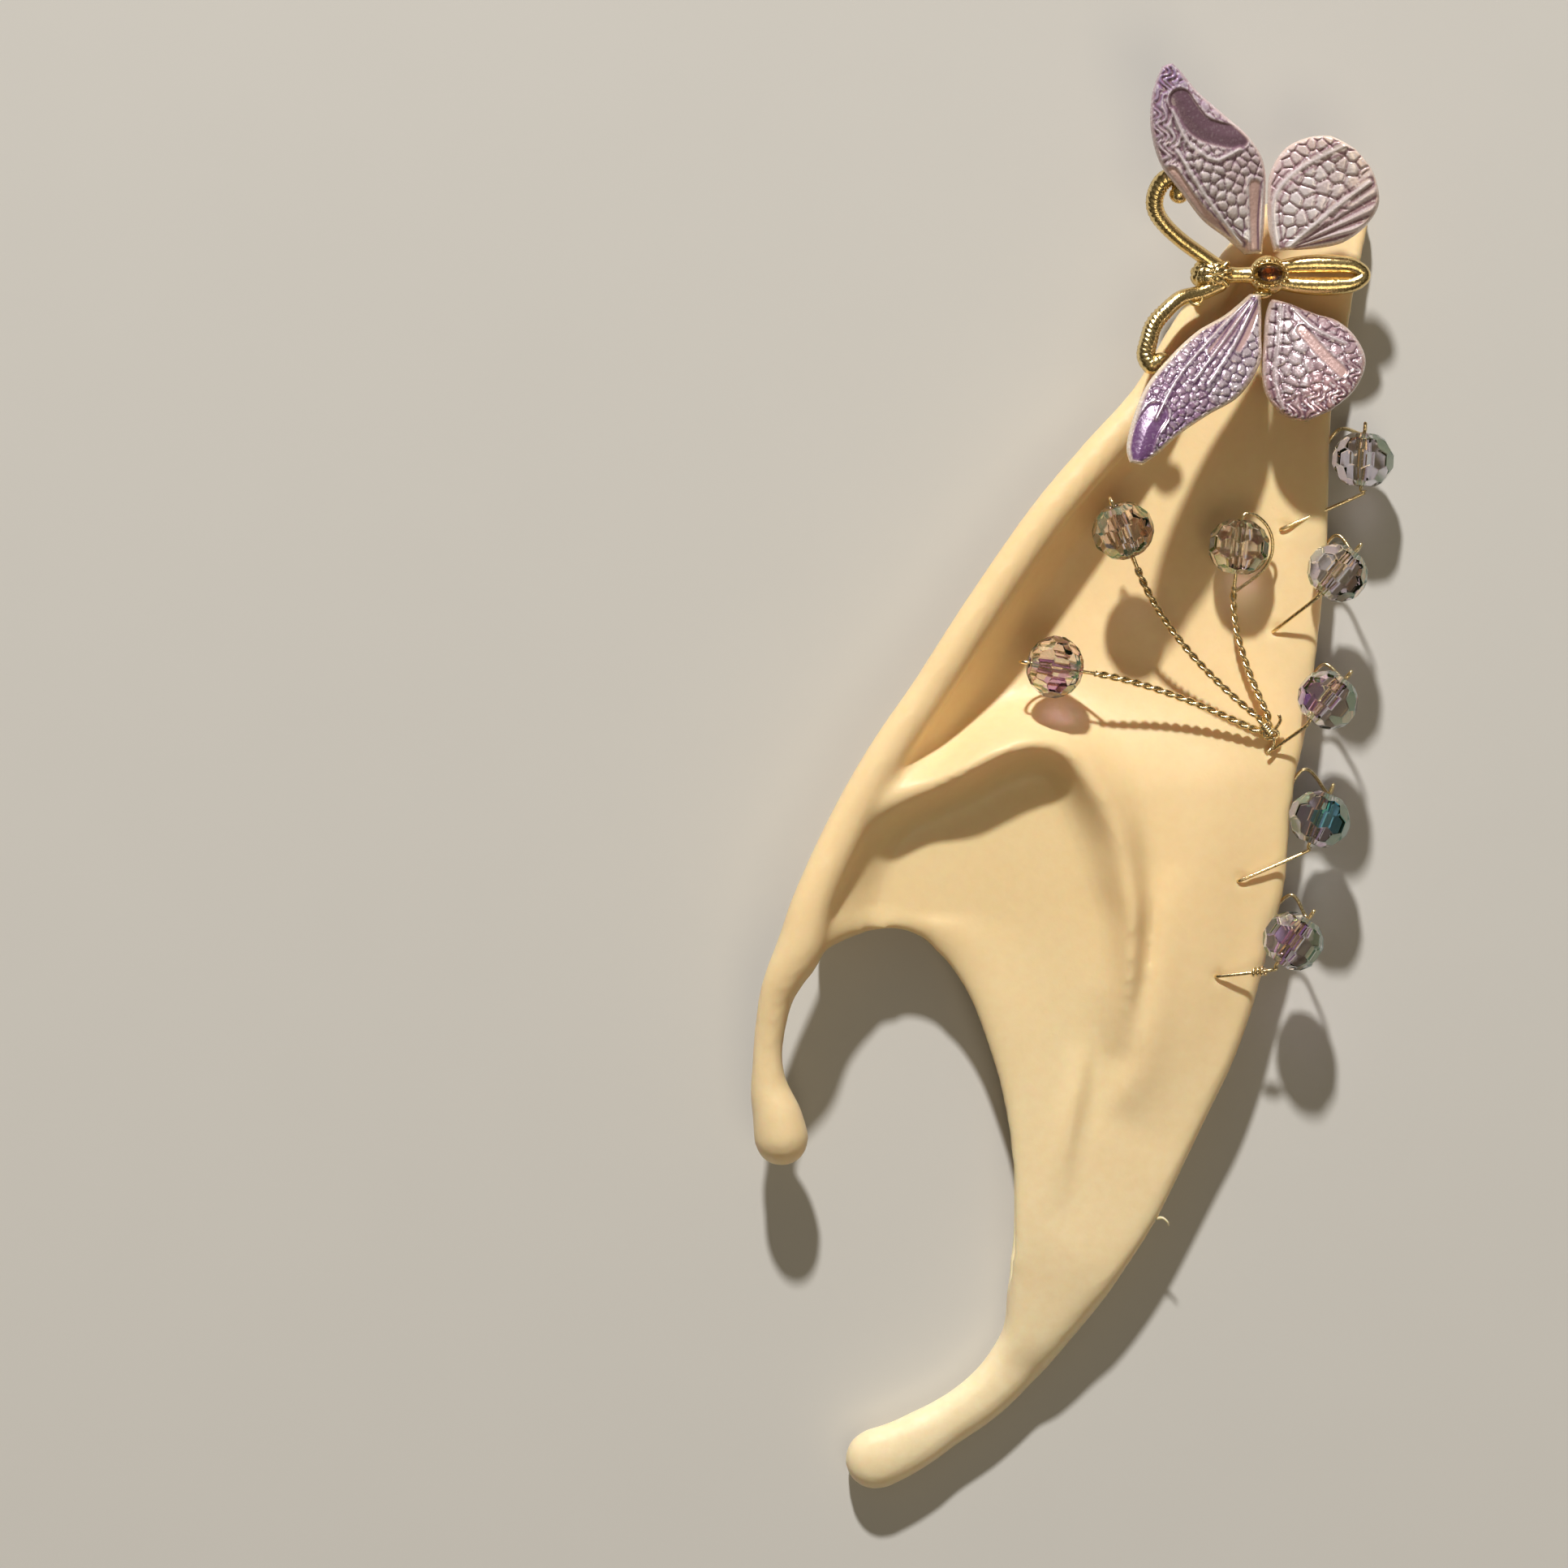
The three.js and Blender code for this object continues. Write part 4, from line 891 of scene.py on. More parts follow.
@dataclass
class MouldedEar:
    """The latex ear: its sizes in millimetres and the surface that the trim sits on."""

    length: float = 175.0
    width: float = 81.2
    wall: float = 2.8
    edge_round: float = 1.6
    notch_blunt: float = 0.8
    notch_droop: float = 0.8
    notch_fall: float = 3.6
    helix_radius: float = 2.6
    arm_radius: float = 3.6
    arm_flat: float = 0.4
    arm_squash: float = 0.85
    arm_fullness: float = 0.62
    pocket_gap: float = 4.9
    pocket_wall: float = 1.8
    ridge_rise: float = 7.0
    voxel: float = 0.46
    rim_reach: tuple[float, float] = (3.4, 1.2)
    rim_turns: int = 22
    corner_reach: tuple[float, float] = (3.6, 1.6)
    joint_reach: tuple[float, float] = (9.0, 4.0)
    joint_turns: int = 80
    dimple_depth: float = 0.35
    dimple_width: float = 0.8

    @property
    def stack(self) -> float:
        """The height of the face over the pocket."""
        return 2 * self.pocket_wall + self.pocket_gap

    @property
    def depth(self) -> float:
        """The depth that heights are shares of."""
        return self.stack + self.ridge_rise

    def on_plan(self, x: Array, y: Array) -> Array:
        """Shares of the ear's width and length as millimetres."""
        return np.stack([x * self.width, y * self.length], axis=-1)

    def fold_height(self, fold: Table, places: Array) -> Array:
        """What one fold adds to the face.

        Args:
            fold: The fold's crest line.
            places: Places of the plan, one a row.

        Returns:
            The height added at each place.
        """
        rows = fold.at(np.linspace(0, 1, (len(fold.rows) - 1) * 4 + 1))
        line = self.on_plan(rows["x"], rows["y"])
        nearest = np.full(len(places), np.inf)
        added = np.zeros(len(places))
        for i in range(len(line) - 1):
            along = line[i + 1] - line[i]
            reach = places - line[i]
            t = np.clip(reach @ along / (along @ along), 0, 1)
            distance = np.linalg.norm(reach - t[:, None] * along, axis=1)
            left = along[0] * reach[:, 1] - along[1] * reach[:, 0] > 0
            width = np.where(
                left,
                rows["left"][i] + (rows["left"][i + 1] - rows["left"][i]) * t,
                rows["right"][i] + (rows["right"][i + 1] - rows["right"][i]) * t,
            ) * self.width
            crest = (rows["height"][i] + (rows["height"][i + 1] - rows["height"][i]) * t) * self.depth
            closer = distance < nearest
            nearest = np.where(closer, distance, nearest)
            added = np.where(closer, crest * np.exp(-((distance / width) ** 2)), added)
        return added

    def leaf(self, across: Array, down: Array) -> LeafSpot:
        """The leaf at shares across and down it."""
        row = LEAF.at(down)
        inner = self.on_plan(row["in_x"], row["in_y"])
        outer = self.on_plan(row["out_x"], row["out_y"])
        place = inner + (outer - inner) * across[:, None]
        dip = self.wall + (self.stack - self.wall) * np.clip(row["lift"], 0, 1)
        rim, lip = row["rim"] * self.depth, row["lip"] * self.depth
        towards_rim = rim + (dip - rim) * smooth_step(0.0, 1.0, across / row["dip_at"])
        past = np.clip((across - row["dip_at"]) / (1 - row["dip_at"]), 0, 1)
        base = np.where(across < row["dip_at"], towards_rim, dip + (lip - dip) * past**1.6)
        folds = sum(self.fold_height(fold, place) for fold in FOLDS)
        flat = smooth_step(row["flat_from"] - 0.12, row["flat_from"], across)
        flat = flat * (1 - smooth_step(row["flat_to"], row["flat_to"] + 0.25, across))
        back = np.maximum(base - self.wall, 0) * (1 - flat)
        return LeafSpot(place, base + folds, back, np.linalg.norm(outer - inner, axis=1))

    def spot(self, across: float, down: float) -> LeafSpot:
        """One place of the leaf."""
        many = self.leaf(np.array([across]), np.array([down]))
        return LeafSpot(many.place[0], many.front[0], many.back[0], many.width[0])

    def under(self, place: Array) -> LeafSpot:
        """The leaf under a place of the plan."""
        above, below = 0.0, 1.0
        for _ in range(40):
            middle = (above + below) / 2
            row = LEAF.at(middle)
            inner = self.on_plan(row["in_x"], row["in_y"])[0]
            outer = self.on_plan(row["out_x"], row["out_y"])[0]
            way, reach = outer - inner, place - inner
            if way[0] * reach[1] - way[1] * reach[0] < 0:
                above = middle
            else:
                below = middle
        start, end = self.spot(0.0, above).place, self.spot(1.0, above).place
        across = float(np.clip((place - start) @ (end - start) / ((end - start) @ (end - start)), 0, 1))
        return self.spot(across, above)

    def leaf_mould(self) -> Mould:
        """The leaf as a closed sheet with rounded edges."""
        steps = LEAF_STEPS
        down = np.concatenate([
            row + np.arange(count) / count for row, count in enumerate(steps)
        ] + [np.array([len(steps)])]) / len(steps)
        near = 1 - np.cos(np.linspace(0, math.pi / 2, 9))
        rows = []
        for j, share in enumerate(down):
            width = self.spot(0.0, share).width
            rounding = min(self.edge_round, width * 0.45)
            edge = near * rounding / width
            notch = smooth_step(0.44, 0.52, np.array(share)) * (1 - smooth_step(0.9, 1.0, np.array(share)))
            soft = rounding - float(notch) * self.notch_blunt
            inner_edge = near * soft / width
            inner = np.linspace(inner_edge[-1], 1 - edge[-1], 130)[1:-1]
            across = np.concatenate([inner_edge, inner, (1 - edge)[::-1]])
            spots = self.leaf(across, np.full(len(across), share))
            ends = quarter_round(np.array(min(j, len(down) - 1 - j), float), 12.0)
            inner_round = quarter_round(across * width, soft)
            thick = inner_round * quarter_round((1 - across) * width, rounding) * ends
            middle = (spots.front + spots.back) / 2
            droop = float(notch) * self.notch_droop * np.exp(-((across * width / self.notch_fall) ** 2))
            front = middle + (spots.front - droop - middle) * thick
            back = middle + (spots.back - middle) * thick
            rows.append((spots.place, front, back))
        place = np.array([row[0] for row in rows])
        front = np.concatenate([place, np.array([row[1] for row in rows])[..., None]], axis=2)
        back = np.concatenate([place, np.array([row[2] for row in rows])[..., None]], axis=2)
        for grid in (front, back):
            middle = (front + back) / 2
            grid[0], grid[-1] = middle[0], middle[-1]
            grid[:, 0], grid[:, -1] = middle[:, 0], middle[:, -1]
        return sheet(front, back)

    def helix_mould(self) -> Mould:
        """The rolled rim and the hook."""
        row = HELIX.at(np.linspace(0, 1, 320))
        centres = np.concatenate(
            [self.on_plan(row["x"], row["y"]), row["height"][:, None] * self.depth], axis=1
        )
        return tube(centres, row["radius"] * self.helix_radius, 28)

    def arm_mould(self) -> Mould:
        """The lower arm, its underside level with the floor."""
        row = ARM.at(np.linspace(0, 1, 90))
        height = np.full((90, 1), self.arm_radius - self.arm_flat)
        centres = np.concatenate([self.on_plan(row["x"], row["y"]), height], axis=1)
        arm = tube(centres, row["radius"] * self.arm_radius, 28)
        level = self.arm_radius - self.arm_flat
        share = (arm.points[:, 2] - level) / (self.arm_radius * 1.1)
        fuller = np.sign(share) * np.abs(share) ** self.arm_fullness
        arm.points[:, 2] = (level + fuller * self.arm_radius * 1.05) * self.arm_squash
        return arm

    def pocket_mould(self) -> Mould:
        """The hollow that the wearer's ear goes into."""
        rows, columns = 60, 36
        row = POCKET.at(np.linspace(0, 1, rows + 1))
        mouth = self.on_plan(row["mouth_x"], row["mouth_y"])
        deep = self.on_plan(row["deep_x"], row["deep_y"])
        t = np.linspace(0, 1, columns + 1)
        place = mouth[:, None, :] * (1 - t)[None, :, None] + deep[:, None, :] * t[None, :, None]
        i, j = np.meshgrid(np.arange(columns + 1), np.arange(rows + 1))
        thick = quarter_round(np.minimum(i, columns - i), 6.0) * quarter_round(
            np.minimum(j, rows - j), 6.0
        )
        middle = self.pocket_wall + self.pocket_gap / 2
        half = thick * self.pocket_gap / 2
        front = np.concatenate([place, (middle + half)[..., None]], axis=2)
        back = np.concatenate([place, (middle - half)[..., None]], axis=2)
        return sheet(front, back)

    def flash_crumb(self) -> Mould:
        """The small torn curl of latex that the mould's seam left on the outer edge."""
        spot = self.spot(1.0, 0.838)
        base = np.array([*spot.place, (spot.front + spot.back) / 2 + 0.2])
        way = np.array([[-1.8, 0.4, 0.0], [-0.3, 0.1, 0.1], [0.6, 0.15, 0.4], [1.2, -0.3, 0.6],
                        [1.4, -0.8, 0.4]])
        points = resample(base + way, 0.12)
        return tube(points, np.linspace(0.34, 0.10, len(points)), 8)

    def build(self, holes: list[Array]) -> bpy.types.Object:
        """Moulds the ear.

        Args:
            holes: Places of the plan where a wire pierces the leaf.

        Returns:
            The ear as one object.
        """
        ear = put("moulded_ear", all_joined([self.leaf_mould(), self.helix_mould(), self.arm_mould()]))
        self.remesh(ear, smoothing=5)
        cut_away(ear, put("pocket", self.pocket_mould()))
        self.remesh(ear, smoothing=4)
        self.soften_rim(ear)
        self.settle(ear, holes)
        crumb = put("crumb", self.flash_crumb())
        work = bmesh.new()
        work.from_mesh(ear.data)
        work.from_mesh(crumb.data)
        work.to_mesh(ear.data)
        work.free()
        bpy.data.objects.remove(crumb)
        ear.data.polygons.foreach_set("use_smooth", [True] * len(ear.data.polygons))
        return ear

    def remesh(self, ear: bpy.types.Object, smoothing: int) -> None:
        """Makes one even skin of the ear and softens it."""
        skin = ear.modifiers.new("skin", "REMESH")
        skin.mode = "VOXEL"
        skin.voxel_size = self.voxel * MM
        soft = ear.modifiers.new("soft", "SMOOTH")
        soft.factor = 0.5
        soft.iterations = smoothing
        apply_all(ear)

    def soften_rim(self, ear: bpy.types.Object) -> None:
        """Smooths the notch's rim, its corner by the helix and the run of the leaf into the arm."""
        mesh = ear.data
        points = np.zeros(len(mesh.vertices) * 3, np.float32)
        mesh.vertices.foreach_get("co", points)
        plan = points.reshape(-1, 3)[:, :2] / MM + PLAN_ORIGIN[:2]
        rim = self.on_plan(LEAF.rows[9:25, 0], LEAF.rows[9:25, 1])
        corner = self.on_plan(LEAF.rows[14:17, 0], LEAF.rows[14:17, 1])
        joint = self.on_plan(ARM.rows[1:5, 0], ARM.rows[1:5, 1])
        spread = np.maximum(
            smooth_step(*self.corner_reach, line_distance(plan, corner)),
            smooth_step(*self.joint_reach, line_distance(plan, joint)),
        )
        near_rim = smooth_step(*self.rim_reach, line_distance(plan, rim))
        for name, weight, turns in (("rim", near_rim, self.rim_turns), ("joint", spread, self.joint_turns)):
            group = ear.vertex_groups.new(name=name)
            for level in range(1, 9):
                chosen = np.nonzero(np.round(weight * 8).astype(int) == level)[0]
                group.add(chosen.tolist(), level / 8, "REPLACE")
            soft = ear.modifiers.new(name, "SMOOTH")
            soft.factor = 0.5
            soft.iterations = turns
            soft.vertex_group = name
        apply_all(ear)
        ear.vertex_groups.clear()

    def settle(self, ear: bpy.types.Object, holes: list[Array]) -> None:
        """Flattens what is under the floor and dimples the face round each pierced wire."""
        mesh = ear.data
        points = np.zeros(len(mesh.vertices) * 3, np.float32)
        mesh.vertices.foreach_get("co", points)
        points = points.reshape(-1, 3)
        plan = points[:, :2] / MM + PLAN_ORIGIN[:2]
        normals = np.zeros(len(mesh.vertices) * 3, np.float32)
        mesh.vertices.foreach_get("normal", normals)
        up = normals.reshape(-1, 3)[:, 2] > 0.2
        for hole in holes:
            near = np.exp(-(np.sum((plan - hole) ** 2, axis=1)) / self.dimple_width**2)
            points[:, 2] -= np.where(up, near * self.dimple_depth * MM, 0)
        points[:, 2] = np.maximum(points[:, 2], 0.0)
        mesh.vertices.foreach_set("co", points.ravel())
        mesh.update()


LEAF_STEPS = [
    8, 10, 12, 14, 16, 18, 18, 20, 22, 20, 20, 16, 12,
    8, 8, 10, 12, 14, 16, 16, 18, 18, 18, 12, 12,
]


# Beads and wires.


@dataclass(frozen=True)
class EdgeSeat:
    """One bead on the outer edge: where it is tied and how it is turned."""

    at: float
    out: float
    over: float
    hole: float
    inset: float
    tilt: float
    turn: float
    knotted: bool = False


@dataclass(frozen=True)
class SpraySeat:
    """One bead on a stalk."""

    name: str
    x: float
    y: float
    rise: float
    bow: float
    roll: float
    turn: float


EDGE_SEATS = [
    EdgeSeat(0.223, 0.53, 0.209, 0.265, 0.70, 4, 10),
    EdgeSeat(0.286, 0.14, 0.266, 0.318, 0.72, 40, 24),
    EdgeSeat(0.358, 0.22, 0.336, 0.402, 0.52, 40, 5),
    EdgeSeat(0.526, 0.48, 0.435, 0.574, 0.74, 22, 16),
    EdgeSeat(0.636, 0.32, 0.598, 0.663, 0.70, 35, 30, knotted=True),
]
SPRAY_SEATS = [
    SpraySeat("a", 0.599, 0.720, 1.42, 0.25, 90, 12),
    SpraySeat("b", 0.788, 0.709, 0.62, 0.20, 165, 3),
    SpraySeat("c", 0.491, 0.619, 1.03, -0.12, 90, 20),
]


@dataclass
class CutBead:
    """A round glass bead, cut in flat facets and drilled through."""

    diameter: float = 8.0
    bore: float = 1.4
    sides: int = 10
    table_reach: float = 0.86
    bands: tuple[tuple[float, float], ...] = (
        (0, 0.965), (33, 0.955), (-33, 0.955), (58, 0.95), (-58, 0.95),
    )

    def facet_ways(self) -> list[tuple[float, Array]]:
        """The direction of each facet, with its distance from the bead's middle."""
        radius = self.diameter / 2
        ways = [(radius * self.table_reach, np.array([0, end, 0])) for end in (1.0, -1.0)]
        for latitude, reach in self.bands:
            stagger = 0.5 if abs(latitude) == 33 else 0.0
            for k in range(self.sides):
                turn = 2 * math.pi * (k + stagger) / self.sides
                lean = math.radians(latitude)
                level = math.cos(lean)
                way = np.array([level * math.cos(turn), math.sin(lean), level * math.sin(turn)])
                ways.append((radius * reach, way))
        return ways

    def solid(self) -> bpy.types.Object:
        """The cut and drilled bead about the origin, its bore along Y."""
        work = bmesh.new()
        duals = [way / reach for reach, way in self.facet_ways()]
        for dual in duals:
            work.verts.new(dual)
        bmesh.ops.convex_hull(work, input=work.verts)
        corners = []
        for face in work.faces:
            three = np.array([v.co[:] for v in face.verts][:3])
            corners.append(np.linalg.solve(three, np.ones(3)))
        work.free()
        work = bmesh.new()
        for corner in corners:
            work.verts.new(corner)
        bmesh.ops.remove_doubles(work, verts=work.verts, dist=0.01)
        bmesh.ops.convex_hull(work, input=work.verts)
        bmesh.ops.dissolve_limit(work, angle_limit=0.03, verts=work.verts, edges=work.edges)
        mesh = bpy.data.meshes.new("cut_bead")
        work.to_mesh(mesh)
        work.free()
        made = bpy.data.objects.new("cut_bead", mesh)
        bpy.context.scene.collection.objects.link(made)
        bevel = made.modifiers.new("bevel", "BEVEL")
        bevel.width = 0.07
        bevel.segments = 1
        bevel.limit_method = "ANGLE"
        bevel.angle_limit = math.radians(6)
        apply_all(made)
        line = np.array([[0, -self.diameter, 0], [0, 0, 0], [0, self.diameter, 0]], float)
        drill = tube(line, self.bore / 2, 16, domed=False)
        drill.points = drill.points / MM + PLAN_ORIGIN
        cut_away(made, put("drill", drill))
        for face in made.data.polygons:
            middle = face.center
            inside = math.hypot(middle.x, middle.z) < self.bore * 0.52
            face.material_index = int(inside and abs(face.normal.y) < 0.5)
        return made

    def place(self, name: str, pattern: bpy.types.Object, centre: Array, axis: Array, turn: float,
              flashes: tuple["Flash", ...], seed: int) -> bpy.types.Object:
        """Sets a copy of the cut bead on the ear and paints reflection tints on its facets.

        Args:
            name: The piece's name.
            pattern: The cut bead about the origin.
            centre: Where it goes, in millimetres on the plan.
            axis: The way of its bore.
            turn: Its turn about the bore, in degrees.
            flashes: The painted reflection tints that its facets show, by the way that they face.
            seed: The seed of the draw.

        Returns:
            The bead.
        """
        mesh = pattern.data.copy()
        points = np.zeros(len(mesh.vertices) * 3, np.float32)
        mesh.vertices.foreach_get("co", points)
        points = points.reshape(-1, 3).astype(float)
        spin = math.radians(turn)
        c, s = math.cos(spin), math.sin(spin)
        points = points @ np.array([[c, 0, -s], [0, 1, 0], [s, 0, c]])
        way = unit(axis)
        side = unit(np.cross(way, UP))
        points = points @ np.array([side, way, np.cross(side, way)])
        mesh.vertices.foreach_set("co", ((points + centre - PLAN_ORIGIN) * MM).astype(np.float32).ravel())
        mesh.update()
        draw = np.random.default_rng(seed)
        layer = mesh.color_attributes.new("facet", "FLOAT_COLOR", "CORNER")
        # Painted reflection: facets that face a glint's way take its tint, and the strongest take the less
        # clear glint glass.
        for polygon in mesh.polygons:
            colour = np.array(CLEAR_FACET) * (1 - 0.06 * draw.random())
            for flash in flashes:
                if np.dot(polygon.normal, unit(np.array(flash.way))) > flash.nearness:
                    colour = np.array(flash.colour) * (0.92 + 0.08 * draw.random())
                    polygon.material_index = max(polygon.material_index, 2 * flash.strong)
            for corner in polygon.loop_indices:
                layer.data[corner].color = (*colour, 1.0)
        made = bpy.data.objects.new(name, mesh)
        bpy.context.scene.collection.objects.link(made)
        mesh.polygons.foreach_set("use_smooth", [False] * len(mesh.polygons))
        return made


@dataclass(frozen=True)
class Flash:
    """A painted reflection: a tint on the facets that face about one way, standing in for a glint of the
    rainbow coat.
    """

    way: tuple[float, float, float]
    nearness: float
    colour: Colour
    strong: bool = False


class Glow(Enum):
    """Which painted reflections of the rainbow coat a bead shows."""

    CLEAR = "clear"
    SKY = "sky"
    VIOLET = "violet"
    CYAN = "cyan"
    BROWN = "brown"
    PLUM = "plum"


CLEAR_FACET = (1.0, 0.985, 0.98)
# Tints of the painted reflections of the rainbow coat; the table below sets them on facets by the way that
# they face.
LILAC, PURPLE, BLUSH = (0.74, 0.56, 0.90), (0.62, 0.34, 0.84), (0.93, 0.80, 0.76)
PAINTED_FLASHES: dict[Glow, tuple[Flash, ...]] = {
    Glow.CLEAR: (Flash((0.5, -0.6, 0.6), 0.9, (0.88, 0.82, 0.95)), Flash((-0.4, -0.7, -0.6), 0.85, BLUSH)),
    Glow.SKY: (Flash((0.15, 0.55, 0.8), 0.90, (0.80, 0.90, 1.0), True),
               Flash((0.3, -0.5, -0.8), 0.85, LILAC)),
    Glow.VIOLET: (Flash((-0.75, 0.15, 0.65), 0.86, PURPLE, True), Flash((-0.7, -0.2, -0.6), 0.75, PURPLE)),
    Glow.CYAN: (Flash((-0.3, 0.1, -0.9), 0.6, (0.70, 0.60, 0.80)),
                Flash((0.35, 0.1, 0.93), 0.90, (0.10, 0.72, 0.92), True),
                Flash((-0.7, 0.2, 0.6), 0.85, (0.72, 0.66, 0.80))),
    Glow.BROWN: (Flash((0.0, 0.2, -1.0), 0.5, (0.86, 0.70, 0.66)),
                 Flash((-0.5, 0.4, 0.7), 0.86, (0.84, 0.74, 0.84))),
    Glow.PLUM: (Flash((0.1, -0.72, 0.68), 0.88, PURPLE, True), Flash((0.0, -0.7, -0.7), 0.70, PURPLE),
                Flash((0.1, 0.7, -0.6), 0.80, BLUSH)),
}


@dataclass
class BeadTrim:
    """The edge beads, the spray of stalks and all their wires."""

    ear: MouldedEar
    bead: CutBead = field(default_factory=CutBead)
    wire: float = 0.5
    strand: float = 0.48
    stalk_strand: float = 0.52
    pitch: float = 3.0
    clearance: float = 0.3
    twist: float = 0.9
    knot: float = 2.6
    hub_x: float = 0.840
    hub_y: float = 0.569

    @property
    def lay(self) -> float:
        """How high a wire lies over a surface."""
        return self.wire / 2 + self.clearance

    def hub_spot(self) -> LeafSpot:
        """The leaf under the hub."""
        return self.ear.under(self.ear.on_plan(np.array(self.hub_x), np.array(self.hub_y)))

    def edge_seat(self, seat: EdgeSeat) -> dict[str, object]:
        """Where one edge bead, its bore and its hole lie."""
        radius = self.bead.diameter / 2
        edge = self.ear.spot(1.0, seat.at)
        outward = unit(edge.place - self.ear.spot(0.0, seat.at).place)
        way = seat.out * self.bead.diameter
        plan = edge.place + outward * way
        reach = radius + self.ear.wall / 2 + self.clearance
        aside = min(way + self.ear.wall / 2, reach)
        height = (edge.front + edge.back) / 2 + math.sqrt(max(reach**2 - aside**2, 0))
        turn = math.radians(seat.tilt)
        hole_edge = self.ear.spot(1.0, seat.hole).place
        inward = unit(self.ear.spot(0.0, seat.hole).place - hole_edge)
        hole = self.ear.under(hole_edge + inward * seat.inset * self.bead.diameter)
        return {
            "centre": np.array([*plan, height]),
            "axis": np.array([math.sin(turn), math.cos(turn), 0.0]),
            "over": self.ear.spot(1.0, seat.over), "outward": outward, "hole": hole,
        }

    def edge_route(self, seat: dict[str, object]) -> Array:
        """The route of an edge wire, out of its hole, through the bead and back behind the leaf."""
        centre, axis, over, hole = seat["centre"], seat["axis"], seat["over"], seat["hole"]
        radius = self.bead.diameter / 2
        round_edge = over.place + seat["outward"] * (self.wire + self.clearance)
        back = centre + axis * 0.9 * radius
        back[2] = centre[2] - radius * 0.9
        behind = self.ear.under((hole.place + round_edge) / 2)
        depth = self.ear.wall * 0.3
        along = [centre + axis * share * radius for share in (-1.15, -0.95, 0.0, 0.95, 1.2)]
        return np.array([
            [*hole.place, hole.front - depth],
            [*hole.place, hole.front + self.lay * 0.6],
            *along, back,
            [*round_edge, (over.front + over.back) / 2],
            [*behind.place, behind.back - self.lay],
            [*hole.place, hole.back - self.lay * 0.6],
            [*hole.place, hole.back + depth],
        ])

    def tie(self, start: Array, finish: Array, turns: float, reach: float) -> Mould:
        """A strand wound in a close coil along a line.

        Args:
            start: Where the coil begins.
            finish: Where it ends.
            turns: How many times it goes round.
            reach: The coil's radius to the strand's middle.

        Returns:
            The coil.
        """
        share = np.linspace(0, 1, int(turns * 22))[:, None]
        way = unit(finish - start)
        side = unit(np.cross(way, UP + np.array([0.1, 0.0, 0.0])))
        up = np.cross(side, way)
        turn = share * turns * 2 * math.pi
        route = start + (finish - start) * share + (side * np.cos(turn) + up * np.sin(turn)) * reach
        return tube(route, self.strand / 2, 8)

    def spray_seat(self, seat: SpraySeat) -> dict[str, Array]:
        """The bead of a stalk and the stalk's curve."""
        plan = self.ear.on_plan(np.array(seat.x), np.array(seat.y))
        rise = seat.rise * self.bead.diameter
        centre = np.array([*plan, self.ear.under(plan).front + rise])
        hub = self.hub_spot()
        way = plan - hub.place
        bend = unit(np.array([way[1], -way[0]])) * seat.bow * self.bead.diameter
        start = hub.place + unit(way) * self.knot
        middle = (start + plan) / 2 - bend * 2
        control = np.array([*middle, self.ear.under(middle).front + rise * 0.55])
        towards = unit(control - centre)
        join = centre + towards * (self.bead.diameter / 2 + self.twist * 1.6)
        aside, roll = unit(np.cross(towards, UP)), math.radians(seat.roll)
        side = aside * math.cos(roll) + np.cross(towards, aside) * math.sin(roll)
        knot_height = hub.front + self.clearance * 2 + self.twist / 2
        return {"centre": centre, "towards": towards, "side": side, "control": control, "join": join,
                "start": np.array([*start, knot_height + self.clearance]),
                "hub": np.array([*hub.place, knot_height])}

    def twisted(self, route: Array, pitch: float) -> Mould:
        """Two strands wound round each other along a route.

        Args:
            route: The points of the pair's middle line, evenly spaced.
            pitch: The length of one turn.

        Returns:
            Both strands as one mesh.
        """
        _, side, out = carried_frames(route)
        length = np.concatenate([[0], np.cumsum(np.linalg.norm(np.diff(route, axis=0), axis=1))])
        turn = 2 * math.pi * length / pitch
        strands = []
        for phase in (0.0, math.pi):
            ring = side * np.cos(turn + phase)[:, None] + out * np.sin(turn + phase)[:, None]
            strands.append(tube(route + ring * (self.stalk_strand * 0.5), self.stalk_strand / 2, 8))
        return all_joined(strands)

    def stalk(self, seat: dict[str, Array]) -> Mould:
        """A stalk: the twisted pair, and a strand through the bead and back round it."""
        start, control, join = seat["start"], seat["control"], seat["join"]
        hub = seat["hub"]
        t = np.linspace(0, 1, 24)[:, None]
        curve = (1 - t) ** 2 * start + 2 * (1 - t) * t * control + t**2 * join
        curve = np.concatenate([[hub + (start - hub) * 0.35], curve])
        pair = self.twisted(resample(curve, 0.24), self.pitch)
        centre, towards = seat["centre"], seat["towards"]
        radius = self.bead.diameter / 2
        past = radius + self.clearance + self.strand * 0.7
        side = seat["side"]
        lead = [join - towards * 0.2, centre + towards * radius * 1.25]
        lead += [centre + towards * radius * share for share in (0.95, 0.4, -0.4, -0.93)]
        lead.append(centre - towards * (radius * 1.1) + side * 0.5)
        for angle in (158, 135, 112, 88, 64, 42):
            turn = math.radians(angle)
            lead.append(centre + (towards * math.cos(turn) + side * math.sin(turn)) * past)
        lead.append(join + towards * 0.3 + side * 0.4)
        strand = tube(resample(np.array(lead), 0.22), self.strand / 2, 8)
        return pair.joined(strand)

